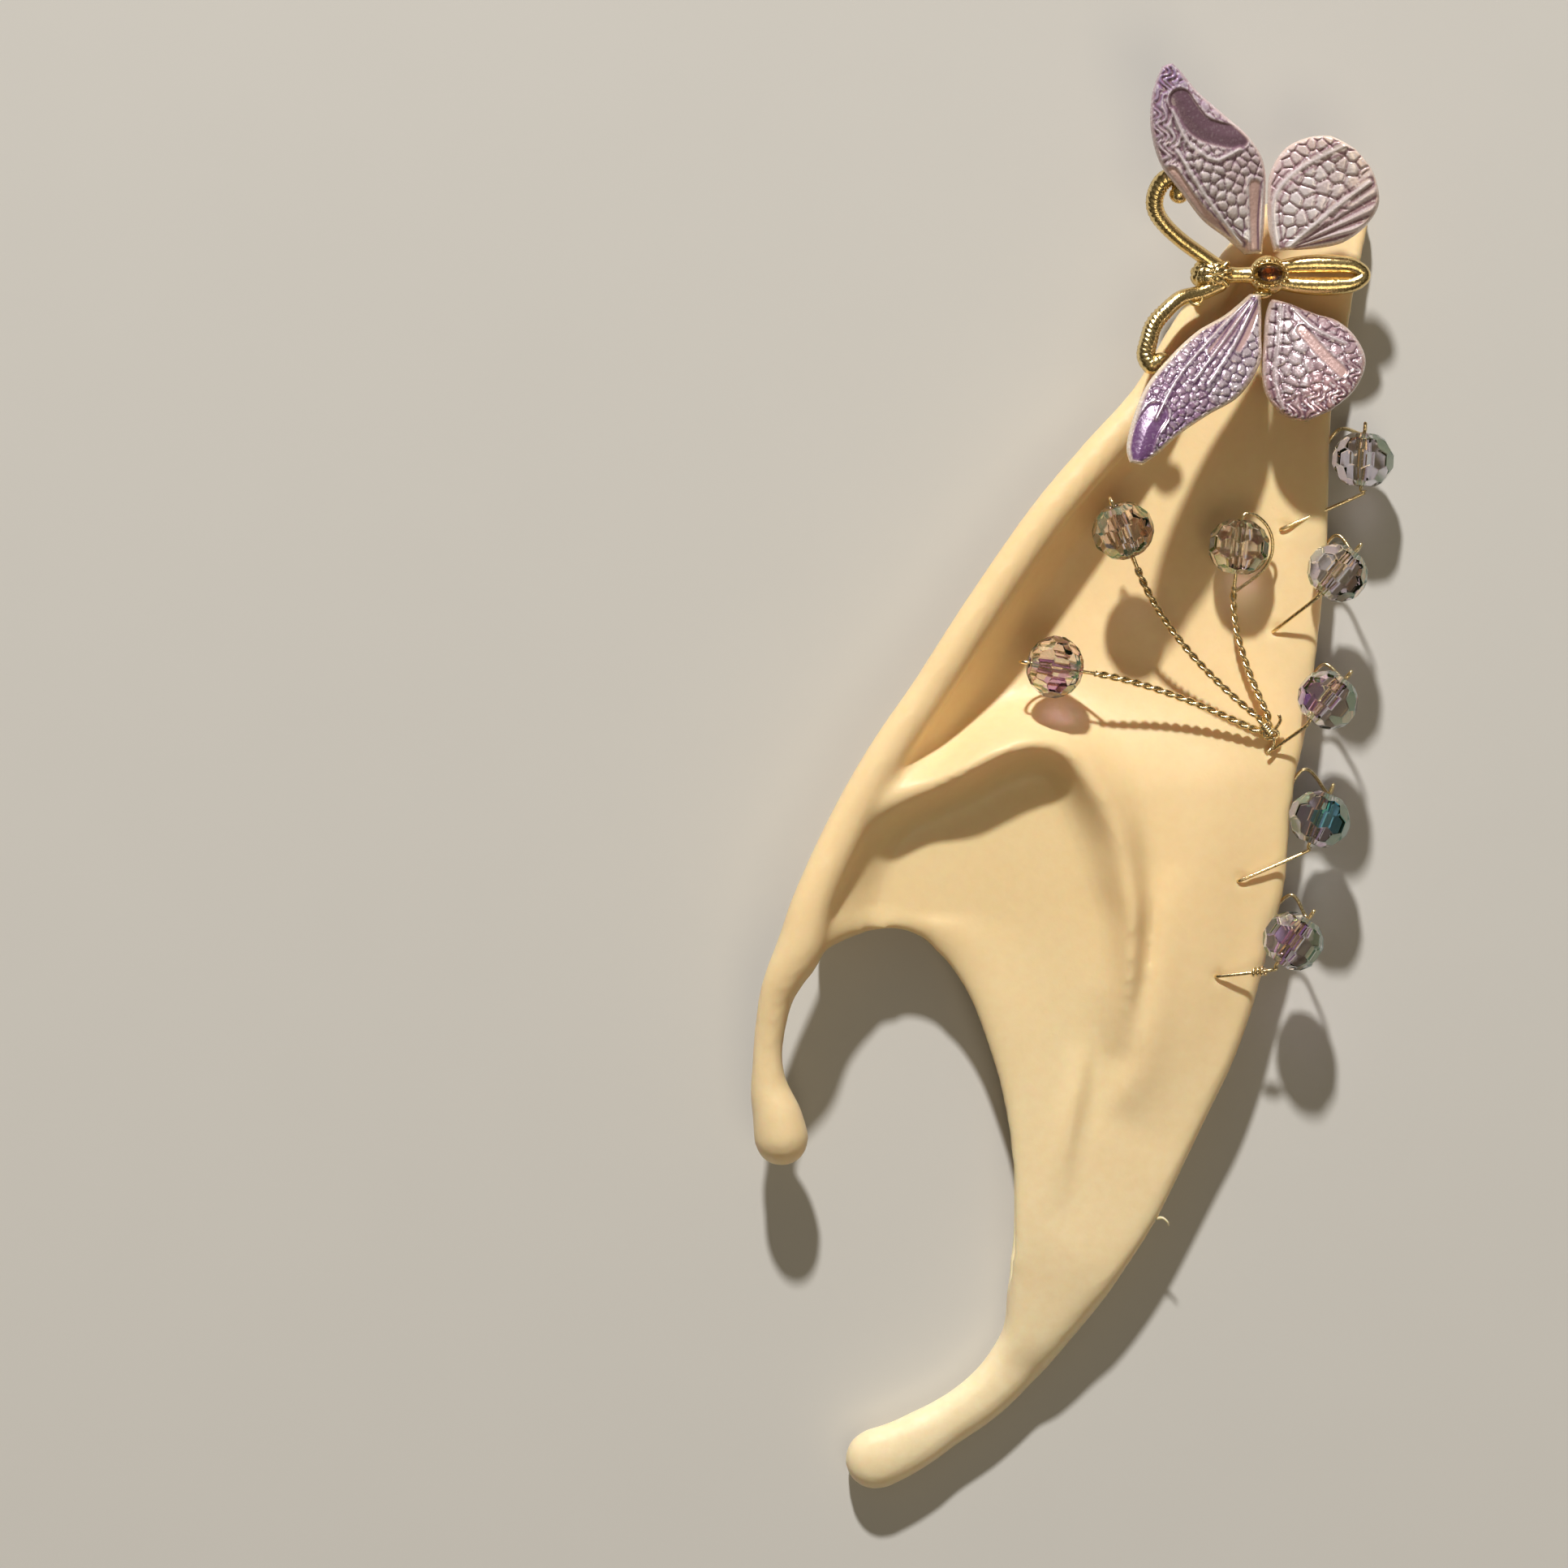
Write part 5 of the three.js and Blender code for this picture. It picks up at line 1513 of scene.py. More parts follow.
    def hub_knot(self) -> Mould:
        """The coil that ties the stalks, its pin and its cut ends."""
        hub = self.hub_spot()
        height = hub.front + self.clearance * 2 + self.twist / 2
        centre = np.array([*hub.place, height])
        turn = np.linspace(0, 2 * math.pi * 2.6, 70)
        reach = self.knot / 2 - self.wire * 0.7
        coil = np.stack([np.cos(turn) * reach, np.sin(turn) * reach * 0.7,
                         (turn / turn[-1] - 0.5) * self.wire * 2.2], axis=1) + centre
        low = [[0, 0, 0.0], [0, 0, hub.front - height], [0, 0, hub.back - height],
               [-self.knot * 0.2, 0, hub.back - self.lay * 1.4 - height],
               [-self.knot, self.knot * 0.2, hub.back - self.lay * 1.6 - height]]
        pin = np.array(low) + centre
        tail = centre + np.array([[0, 0, 0], [0.7, 0.9, 0.5], [1.2, 1.8, 0.9], [1.0, 2.4, 1.4]])
        second = centre + np.array([[0, 0, 0], [0.4, -0.8, 0.3], [0.2, -1.7, 0.2], [-0.4, -2.3, 0.3]])
        parts = [tube(coil, self.strand / 2, 8)]
        for route in (pin, tail, second):
            parts.append(tube(resample(route, 0.25), self.strand / 2, 8))
        starts = [self.spray_seat(seat)["start"] for seat in SPRAY_SEATS]
        bundle = centre + (np.mean(starts, axis=0) - centre) * 0.68
        parts.append(self.tie(centre, bundle, 4.5, self.knot * 0.29 - self.strand * 0.3))
        parts.append(tube(np.linspace(centre, bundle, 6), self.knot * 0.29 - self.strand * 0.5, 10))
        return all_joined(parts)

    def build(self, gold: bpy.types.Material, glasses: tuple[bpy.types.Material, ...]) -> list[Array]:
        """Makes the beads and wires.

        Args:
            gold: The wires' material.
            glasses: The beads' glass, the ground glass of their bores and the glass of their facets with
                painted reflections.

        Returns:
            Places of the plan where a wire pierces the leaf.
        """
        pattern = self.bead.solid()
        holes = [self.hub_spot().place]
        glows = [Glow.CLEAR, Glow.CLEAR, Glow.VIOLET, Glow.CYAN, Glow.VIOLET]
        spray_glows = [Glow.BROWN, Glow.SKY, Glow.PLUM]
        for number, (seat, glow) in enumerate(zip(EDGE_SEATS, glows), start=1):
            spots = self.edge_seat(seat)
            holes.append(spots["hole"].place)
            made = self.bead.place(f"cut_edge_bead_{number}", pattern, spots["centre"], spots["axis"],
                                   seat.turn, PAINTED_FLASHES[glow], 40 + number)
            finish_piece(made, [f"edge_bead_{number}"], "crystal", *glasses)
            points = self.edge_route(spots)
            route = tube(resample(points, 0.22), self.strand / 2, 8)
            if seat.knotted:
                near, far = (points[1] + (points[2] - points[1]) * share for share in (0.62, 0.86))
                route = route.joined(self.tie(near, far, 3.0, self.strand * 0.9))
            finish_piece(put(f"tied_wire_{number}", route), [f"edge_wire_{number}"], "gold", gold)
        for number, (seat, glow) in enumerate(zip(SPRAY_SEATS, spray_glows)):
            spots = self.spray_seat(seat)
            made = self.bead.place(f"cut_spray_bead_{seat.name}", pattern, spots["centre"],
                                   spots["towards"], seat.turn, PAINTED_FLASHES[glow], 60 + number)
            finish_piece(made, [f"spray_bead_{seat.name}"], "crystal", *glasses)
            stalk = put(f"twisted_stalk_{seat.name}", self.stalk(spots))
            finish_piece(stalk, [f"spray_wire_{seat.name}"], "gold", gold)
        finish_piece(put("coil_knot", self.hub_knot()), ["spray_hub"], "gold", gold)
        bpy.data.objects.remove(pattern)
        return holes


# The butterfly.

WING_COLUMNS = ("lead_x", "lead_y", "trail_x", "trail_y", "rise")
WINGS = {
    "forewing_upper": Table(WING_COLUMNS, np.array([
        [-0.062, 0.050, -0.018, 0.052, 0.02], [-0.113, 0.090, -0.013, 0.163, 0.05],
        [-0.175, 0.133, -0.017, 0.271, 0.09], [-0.233, 0.202, -0.056, 0.338, 0.13],
        [-0.285, 0.267, -0.125, 0.396, 0.16], [-0.312, 0.354, -0.192, 0.450, 0.19],
        [-0.310, 0.442, -0.233, 0.496, 0.21], [-0.287, 0.510, -0.258, 0.520, 0.22],
    ])),
    "forewing_lower": Table(WING_COLUMNS, np.array([
        [-0.050, -0.050, -0.020, -0.052, 0.02], [-0.113, -0.104, -0.022, -0.156, 0.05],
        [-0.188, -0.150, -0.029, -0.233, 0.09], [-0.258, -0.215, -0.083, -0.317, 0.13],
        [-0.321, -0.292, -0.167, -0.369, 0.17], [-0.358, -0.379, -0.240, -0.419, 0.20],
        [-0.375, -0.450, -0.296, -0.469, 0.22], [-0.368, -0.492, -0.338, -0.498, 0.23],
    ])),
    "hindwing_upper": Table(WING_COLUMNS, np.array([
        [0.012, 0.058, 0.058, 0.062, 0.01], [-0.002, 0.115, 0.133, 0.068, 0.02],
        [-0.006, 0.188, 0.194, 0.083, 0.04], [0.000, 0.258, 0.250, 0.127, 0.06],
        [0.037, 0.317, 0.277, 0.183, 0.08], [0.096, 0.344, 0.258, 0.258, 0.10],
        [0.150, 0.347, 0.212, 0.314, 0.11],
    ])),
    "hindwing_lower": Table(WING_COLUMNS, np.array([
        [0.004, -0.062, 0.055, -0.075, 0.01], [-0.010, -0.108, 0.117, -0.100, 0.02],
        [-0.016, -0.175, 0.175, -0.121, 0.04], [-0.022, -0.254, 0.221, -0.167, 0.06],
        [-0.008, -0.321, 0.242, -0.229, 0.08], [0.037, -0.369, 0.212, -0.300, 0.10],
        [0.088, -0.382, 0.150, -0.354, 0.11],
    ])),
}
ANTENNAE = [
    np.array([
        [-0.130, 0.020, 0.010], [-0.177, 0.052, 0.020], [-0.227, 0.087, 0.035],
        [-0.269, 0.125, 0.050], [-0.292, 0.160, 0.060], [-0.294, 0.196, 0.070],
        [-0.277, 0.231, 0.080], [-0.248, 0.246, 0.085], [-0.226, 0.228, 0.085],
        [-0.234, 0.200, 0.080],
    ]),
    np.array([
        [-0.125, -0.025, 0.010], [-0.177, -0.048, 0.020], [-0.227, -0.062, 0.035],
        [-0.269, -0.098, 0.050], [-0.298, -0.133, 0.060], [-0.312, -0.177, 0.070],
        [-0.318, -0.212, 0.075], [-0.303, -0.236, 0.080], [-0.281, -0.226, 0.080],
    ]),
]


class Press(Enum):
    """What a patch of a wing is pressed with."""

    SMOOTH = "smooth"
    DARK = "dark"
    SILVER = "silver"
    WORMS = "worms"
    RAYS = "rays"


@dataclass(frozen=True)
class Patch:
    """A patch of a wing: its middle line and its reach to the sides, in shares of the span."""

    press: Press
    line: tuple[tuple[float, float], ...]
    reach: float


@dataclass(frozen=True)
class WingRelief:
    """How a wing's face is pressed: cells and vein width in millimetres, lines in shares of the span."""

    cell: float
    tip_cell: float
    veins: tuple[tuple[tuple[float, float], ...], ...]
    vein: float
    patches: tuple[Patch, ...]
    grains: float
    seed: int


RELIEFS = {
    "forewing_upper": WingRelief(1.45, 0.80, (
        ((-0.258, 0.400), (-0.226, 0.333), (-0.191, 0.302), (-0.145, 0.279), (-0.083, 0.308)),
        ((-0.016, 0.225), (-0.022, 0.140), (-0.020, 0.065)),
        ((-0.245, 0.300), (-0.170, 0.190), (-0.075, 0.075)),
    ), 0.30, (
        Patch(Press.WORMS, ((-0.290, 0.480), (-0.285, 0.400), (-0.270, 0.300)), 0.050),
        Patch(Press.SMOOTH, ((-0.260, 0.240), (-0.190, 0.150), (-0.110, 0.085), (-0.060, 0.058)), 0.026),
        Patch(Press.SMOOTH, ((-0.042, 0.220), (-0.038, 0.140), (-0.034, 0.062)), 0.019),
        Patch(Press.SILVER, ((-0.228, 0.370), (-0.160, 0.230), (-0.085, 0.105)), 0.048),
        Patch(Press.DARK, ((-0.238, 0.425), (-0.190, 0.365), (-0.140, 0.345), (-0.090, 0.338)), 0.034),
    ), 0.0, 3),
    "forewing_lower": WingRelief(1.35, 0.72, (
        ((-0.040, -0.075), (-0.095, -0.185), (-0.165, -0.290)),
        ((-0.060, -0.070), (-0.150, -0.165), (-0.240, -0.270), (-0.300, -0.380)),
        ((-0.048, -0.072), (-0.120, -0.172), (-0.200, -0.280)),
    ), 0.24, (
        Patch(Press.SILVER, ((-0.060, -0.160), (-0.080, -0.230), (-0.130, -0.300)), 0.040),
        Patch(Press.SMOOTH, ((-0.062, -0.088), (-0.105, -0.150), (-0.150, -0.205)), 0.017),
        Patch(Press.SMOOTH, ((-0.036, -0.085), (-0.055, -0.140), (-0.085, -0.195)), 0.013),
        Patch(Press.DARK, ((-0.345, -0.470), (-0.325, -0.410), (-0.300, -0.370)), 0.036),
    ), 0.10, 5),
    "hindwing_upper": WingRelief(1.80, 1.30, (
        ((0.018, 0.075), (0.011, 0.188), (0.071, 0.262), (0.188, 0.319)),
        ((0.050, 0.070), (0.086, 0.100), (0.174, 0.173), (0.249, 0.227)),
    ), 0.42, (
        Patch(Press.SILVER, ((0.055, 0.130), (0.110, 0.210), (0.160, 0.270)), 0.060),
        Patch(Press.RAYS, ((0.110, 0.072), (0.190, 0.100), (0.245, 0.160), (0.262, 0.220)), 0.046),
    ), 0.0, 7),
    "hindwing_lower": WingRelief(1.80, 1.25, (
        ((0.028, -0.080), (0.020, -0.180), (0.010, -0.270), (0.030, -0.350)),
        ((0.060, -0.090), (0.110, -0.140), (0.190, -0.180)),
    ), 0.34, (
        Patch(Press.WORMS, ((0.030, -0.355), (0.110, -0.345), (0.175, -0.310), (0.220, -0.250)), 0.040),
        Patch(Press.SILVER, ((0.000, -0.120), (0.040, -0.200), (0.050, -0.270)), 0.050),
        Patch(Press.SMOOTH, ((0.080, -0.145), (0.130, -0.205), (0.180, -0.255)), 0.017),
    ), 0.0, 9),
}


@dataclass
class Butterfly:
    """The soldered gold butterfly with its stone and four pressed wings."""

    ear: MouldedEar
    span: float = 51.0
    thorax_x: float = 0.836
    thorax_y: float = 0.912
    wing_thickness: float = 1.4
    head_diameter: float = 4.2
    thorax_diameter: float = 5.2
    stone_length: float = 3.6
    stone_width: float = 2.4
    bezel_wall: float = 0.5
    head_way: float = 0.145
    bar: float = 2.2
    abdomen_length: float = 11.0
    abdomen_slot: float = 0.4
    antenna_diameter: float = 2.0
    peg_diameter: float = 3.0
    clearance: float = 0.3

    def thorax(self) -> Array:
        """The thorax's middle, just clear of the rolled rim under the head."""
        row = HELIX.at(np.linspace(0, 1, 36))
        off = np.abs(row["y"] - self.thorax_y)
        near = int(np.argmin(off))
        top = row["height"][near] * self.ear.depth + row["radius"][near] * self.ear.helix_radius
        plan = self.ear.on_plan(np.array(self.thorax_x), np.array(self.thorax_y))
        return np.array([*plan, top + self.clearance + self.head_diameter / 2])

    def on_span(self, shares: Array) -> Array:
        """Points in shares of the span from the thorax."""
        return np.asarray(shares, float) * self.span + self.thorax()

    def wing(self, name: str) -> Mould:
        """One wing, its face pressed in cells, veins and a raised rim.

        Args:
            name: The wing's node.

        Returns:
            The wing with its tints: way, web, pearl and edge.
        """
        rows, columns = 150, 84
        relief = RELIEFS[name]
        share = np.linspace(0, 1, rows)
        row = WINGS[name].at(share)
        lead = self.on_span(np.stack([row["lead_x"], row["lead_y"], row["rise"]], axis=1))
        trail = self.on_span(np.stack([row["trail_x"], row["trail_y"], row["rise"]], axis=1))
        u = 0.5 - 0.5 * np.cos(np.linspace(0, math.pi, columns))
        middle = lead[:, None, :] * (1 - u)[None, :, None] + trail[:, None, :] * u[None, :, None]
        width = np.linalg.norm(trail - lead, axis=1)[:, None]
        stride = np.linalg.norm(np.diff((lead + trail) / 2, axis=0), axis=1)
        reach = np.concatenate([[0], np.cumsum(stride)])
        side = np.minimum(u, 1 - u)[None, :] * width
        end = np.minimum(reach, (reach[-1] - reach))[:, None]
        border = np.minimum(side, np.maximum(end, 0.0) * 1.2)
        thick = quarter_round(border, 0.85)
        middle[..., 2] += 4 * u * (1 - u) * self.wing_thickness * 0.6
        pressed, web, pearl, plain, dark = self.pressing(middle[..., :2], border, relief)
        length = np.broadcast_to(reach[:, None], border.shape)
        beaded = (1 - smooth_step(0.5, 0.9, border)) * (u > 0.5) * relief.grains
        pressed = pressed + beaded * (1 + np.cos(length * 2 * math.pi / 0.75))
        half = self.wing_thickness / 2
        front, back = middle.copy(), middle.copy()
        front[..., 2] += thick * (half + pressed)
        back[..., 2] -= thick * half
        mould = sheet(front, back)
        inner = (rows - 2) * (columns - 2)
        way = np.broadcast_to(share[:, None], (rows, columns))
        rim = 1 - smooth_step(0.15, 0.75, border)
        tints = {"way": way, "web": web, "pearl": pearl, "edge": rim, "plain": plain, "dark": dark}
        for tint, values in tints.items():
            behind = values[1:-1, 1:-1].ravel() if tint in ("way", "edge") else np.full(inner, 0.5)
            mould.tints[tint] = np.concatenate([values.ravel(), behind])
        return mould

    def pressing(self, plan: Array, border: Array, relief: WingRelief) -> tuple[Array, ...]:
        """The relief of a wing's face.

        Args:
            plan: The grid's places.
            border: The distance to the wing's edge.
            relief: The wing's pattern.

        Returns:
            The height, the web mask, which is 0 in the grooves, the pearliness, and how plain and
            how dark each place is.
        """
        draw = np.random.default_rng(relief.seed)
        flat = plan.reshape(-1, 2)
        low, high = flat.min(0), flat.max(0)
        root = plan[0].mean(0)
        far = np.linalg.norm(plan[-1].mean(0) - root)
        picked: list[Array] = []
        for point in low + draw.random((2600, 2)) * (high - low):
            out = np.linalg.norm(point - root) / far
            room = (relief.cell + (relief.tip_cell - relief.cell) * min(out, 1.0)) * 0.84
            if all(np.linalg.norm(point - kept) > room for kept in picked):
                picked.append(point)
        seeds = np.array(picked)
        chances = draw.random(len(seeds))
        gaps = np.linalg.norm(flat[:, None, :] - seeds[None, :, :], axis=2)
        order = np.argsort(gaps, axis=1)[:, :2]
        first = np.take_along_axis(gaps, order[:, :1], axis=1)[:, 0].reshape(border.shape)
        second = np.take_along_axis(gaps, order[:, 1:2], axis=1)[:, 0].reshape(border.shape)
        groove = smooth_step(0.05, 0.34, second - first)
        dome = 1 - np.clip(first / relief.cell, 0, 1) ** 2
        pearl = 0.12 + 0.42 * chances[order[:, 0]].reshape(border.shape)
        height = 0.28 * groove * (0.5 + 0.5 * dome) - 0.06
        web = groove.copy()
        plain, dark = np.zeros(border.shape), np.zeros(border.shape)
        shares = (plan - self.thorax()[:2]) / self.span
        east, north = plan[..., 0], plan[..., 1]
        wave = east + 0.55 * np.sin(north * 2.3) + 0.35 * np.sin(east * 1.7 + north * 3.1)
        worms = 0.5 + 0.5 * np.cos(wave * 2 * math.pi / 1.05)
        angle = np.arctan2(plan[..., 1] - root[1], plan[..., 0] - root[0])
        rays = 0.5 + 0.5 * np.cos(angle * 44)
        for patch in relief.patches:
            line = spline(np.array(patch.line), np.linspace(0, 1, 14))
            off = line_distance(shares, line)
            inside = smooth_step(patch.reach, patch.reach - 0.007, off)
            if patch.press in (Press.SMOOTH, Press.DARK):
                level, shown = 0.10 - 4.0 * off, 1.0
                plain = np.maximum(plain, inside)
                dark = np.maximum(dark, inside * (patch.press is Press.DARK))
                pearl = pearl + (0.10 - pearl) * inside
            elif patch.press is Press.SILVER:
                level, shown = height * 1.3, web
                pearl = pearl + (0.62 + 0.36 * chances[order[:, 0]].reshape(border.shape) - pearl) * inside
            else:
                drawn = worms if patch.press is Press.WORMS else rays
                level, shown = 0.24 * drawn - 0.04, smooth_step(0.15, 0.6, drawn)
                pearl = pearl + (0.15 + 0.45 * drawn - pearl) * inside
            height = height + (level - height) * inside
            web = web + (shown - web) * inside
            rim = np.exp(-(((off - patch.reach) / 0.0055) ** 2))
            if patch.press in (Press.SMOOTH, Press.DARK):
                height = np.maximum(height, 0.30 * rim - 0.05)
                pearl = np.maximum(pearl, 0.85 * rim)
        for line in relief.veins:
            course = spline(np.array(line), np.linspace(0, 1, 18)) * self.span + self.thorax()[:2]
            off = line_distance(plan, course)
            ridge = np.exp(-((off / relief.vein) ** 2))
            height = np.maximum(height, 0.42 * ridge - 0.05)
            beside = np.exp(-(((off - relief.vein * 1.7) / 0.16) ** 2))
            web = np.maximum(web * (1 - beside), smooth_step(0.3, 0.7, ridge))
            pearl = np.maximum(pearl, 0.9 * smooth_step(0.3, 0.8, ridge))
            plain = plain * (1 - ridge)
            dark = dark * (1 - ridge)
        brim = 1 - smooth_step(0.25, 0.6, border)
        height = height * (1 - brim) + 0.16 * brim
        web = web * (1 - brim) + 0.9 * brim
        return height, web, pearl, plain * (1 - brim), dark * (1 - brim)

    def abdomen(self) -> Mould:
        """The abdomen: one bar out, round and back, fuller in the middle and drawn to a point."""
        half = (self.bar + self.abdomen_slot) / 2
        start = self.thorax_diameter * 0.3
        end = self.thorax_diameter / 2 + self.abdomen_length - half - self.bar / 2
        turn = np.radians(np.linspace(-90, 90, 15))
        bend = np.stack([end + half * np.cos(turn), half * np.sin(turn)], axis=1)
        out = np.linspace(start, end, 30)[:-1]
        line = np.concatenate([
            np.stack([out, np.full(len(out), -half)], axis=1), bend,
            np.stack([out[::-1], np.full(len(out), half)], axis=1),
        ])
        share = (line[:, 0] - start) / (end + half - start)
        taper = 0.80 + 0.32 * np.sin(math.pi * np.clip(share, 0, 1)) ** 0.8
        line[:, 1] *= taper * (1 - 0.3 * smooth_step(0.8, 1.0, share))
        points = np.concatenate([line, np.zeros((len(line), 1))], axis=1) + self.thorax()
        return tube(points, self.bar / 2 * taper, 20)

    def antenna(self, rows: Array) -> Mould:
        """A feeler, smooth at its root and wound with granules on its curl."""
        points = resample(self.on_span(rows), 0.14)
        share = np.linspace(0, 1, len(points))
        radius = self.antenna_diameter / 2 * (1.02 + 0.2 * smooth_step(0.3, 0.9, share))
        length = len(points) * 0.14

        def granules(along: Array, turn: Array) -> Array:
            """Rows of small grains, stronger towards the curl."""
            strength = 0.11 * smooth_step(0.35, 0.6, along)
            return strength * np.cos(along * length * 2 * math.pi / 0.62 + turn) * np.cos(turn * 5)

        return tube(points, radius, 18, granules)

    def crown(self) -> Mould:
        """The head: a granulated crown with a coil ring beside it."""
        centre = self.on_span([-self.head_way, 0.0, 0.0])
        head = ball(centre, np.array([1.25, 1.0, 1.0]) * self.head_diameter / 2, 60, 44)
        way = (head.points - centre) / (np.array([1.25, 1.0, 1.0]) * self.head_diameter / 2)
        draw = np.random.default_rng(11)
        seeds = draw.normal(size=(70, 3))
        seeds /= np.linalg.norm(seeds, axis=1)[:, None]
        gaps = np.sort(np.linalg.norm(way[:, None, :] - seeds[None], axis=2), axis=1)
        grain = smooth_step(0.0, 0.16, gaps[:, 1] - gaps[:, 0])
        head.points = centre + (head.points - centre) * (1.0 + 0.1 * grain)[:, None]
        parts = [head]
        turn = np.linspace(0, 2 * math.pi * 1.8, 60)
        coil = np.stack([np.cos(turn) * (0.55 + 0.04 * turn), np.sin(turn) * (0.55 + 0.04 * turn),
                         0.1 * turn], axis=1) + self.on_span([-0.188, -0.060, 0.02])
        parts.append(tube(coil, 0.27, 10))
        for angle in (-42, -14, 14, 42):
            lean = math.radians(angle)
            reach = np.array([math.cos(lean) * 1.9, math.sin(lean) * 2.1, 0.75])
            root = centre + np.array([0.5, 0, 0.6])
            petal = np.array([root, root + reach * 0.5 + UP * 0.5, root + reach])
            parts.append(tube(resample(petal, 0.12), 0.36, 10))
        return all_joined(parts)

    def bezel(self) -> Mould:
        """The stone's cup with its ring of bright grains."""
        thorax = self.thorax()
        seat = self.thorax_diameter * 0.3
        height = seat + self.stone_width * 0.2
        turn = np.linspace(0, 2 * math.pi, 48, endpoint=False)
        outer = np.array([self.stone_length / 2 + self.bezel_wall, self.stone_width / 2 + self.bezel_wall])
        inner = np.array([self.stone_length / 2, self.stone_width / 2]) + self.clearance / 2
        ring = np.stack([np.cos(turn), np.sin(turn)], axis=1)
        profile = [(outer * 1.15, 0.0), (outer, height * 0.6), (outer * 0.97, height),
                   (inner, height), (inner, seat), (inner * 0.02, seat), (outer * 0.02, 0.0)]
        points = np.concatenate([
            np.concatenate([ring * radii, np.full((48, 1), level)], axis=1) for radii, level in profile
        ]) + thorax
        faces = []
        for j in range(len(profile)):
            for k in range(48):
                a, b = j * 48 + k, j * 48 + (k + 1) % 48
                c, d = (b + 48) % len(points), (a + 48) % len(points)
                faces.append((a, b, c, d))
        parts = [Mould(points, faces)]
        for k in range(20):
            angle = 2 * math.pi * k / 20
            place = np.array([
                math.cos(angle) * (outer[0] + 0.06), math.sin(angle) * (outer[1] + 0.06), height,
            ])
            parts.append(ball(thorax + place, np.full(3, 0.27), 10, 8))
        bump = thorax + np.array([-0.9, -2.6, 0.9])
        parts.append(ball(bump, np.array([1.3, 0.65, 0.7]), 20, 12))
        return all_joined(parts)

    def frame_moulds(self) -> Mould:
        """Everything soldered: head, neck, thorax, cup, peg, abdomen and feelers."""
        thorax = self.thorax()
        body = ball(thorax, np.array([1, 1, 0.62]) * self.thorax_diameter / 2, 40, 24)
        run = np.array([self.on_span([-self.head_way * share, 0, 0]) for share in (1, 0.5, 0)])
        neck = resample(run, 0.2)
        flare = np.abs(np.linspace(-1, 1, len(neck))) ** 2
        saddle = tube(neck, self.head_diameter * (0.25 + 0.14 * flare), 24)
        ring = np.radians(np.arange(0, 360, 30))
        reach = self.peg_diameter / 2
        places = thorax[:2] + np.stack([np.cos(ring), np.sin(ring)], axis=1) * reach
        foot = max(self.ear.under(place).front for place in places) + self.clearance
        peg = np.array([[*thorax[:2], foot], [*thorax[:2], (foot + thorax[2]) / 2], thorax])
        post = tube(resample(peg, 0.4), reach, 24, domed=False)
        feelers = [self.antenna(rows) for rows in ANTENNAE]
        return all_joined([body, saddle, post, self.crown(), self.bezel(), self.abdomen(), *feelers])

    def stone(self) -> Mould:
        """The oval stone, cut with a table and two rows of facets."""
        half = self.stone_width / 2
        height = self.thorax()[2] + self.thorax_diameter * 0.3 + self.clearance + self.stone_width * 0.3
        levels = [(0.02, -0.6), (0.6, -0.35), (1.0, -0.02), (1.0, 0.08), (0.74, 0.36), (0.45, 0.46)]
        points = []
        for j, (reach, level) in enumerate(levels):
            for k in range(12):
                angle = 2 * math.pi * (k + (0.5 if j % 2 else 0.0)) / 12
                points.append([
                    math.cos(angle) * reach * (self.stone_length / 2 - self.clearance / 2),
                    math.sin(angle) * reach * (half - self.clearance / 2), level * half,
                ])
        faces: list[tuple[int, ...]] = []
        for j in range(len(levels) - 1):
            for k in range(12):
                a, b = j * 12 + k, j * 12 + (k + 1) % 12
                c, d = b + 12, a + 12
                faces += [(a, b, d), (b, c, d)] if j % 2 == 0 else [(a, b, c), (a, c, d)]
        faces.append(tuple(range(12))[::-1])
        faces.append(tuple(range(len(points) - 12, len(points))))
        centre = np.array([*self.thorax()[:2], height])
        return Mould(np.array(points) + centre, faces)

    def build(self, gold: bpy.types.Material, amber: bpy.types.Material,
              resins: dict[str, bpy.types.Material]) -> None:
        """Makes the frame, the stone and the wings."""
        finish_piece(put("soldered_butterfly", self.frame_moulds()), ["butterfly_frame"], "gold", gold)
        stone = put("oval_stone", self.stone(), smooth=False)
        layer = stone.data.color_attributes.new("facet", "FLOAT_COLOR", "CORNER")
        layer.data.foreach_set("color", [1.0] * 4 * len(stone.data.loops))
        finish_piece(stone, ["thorax_stone"], "amber_glass", amber)
        for name in WINGS:
            slot = "violet_resin" if name.startswith("fore") else "pink_resin"
            finish_piece(put(f"pressed_{name}", self.wing(name)), [name], slot, resins[name])


# The studio.


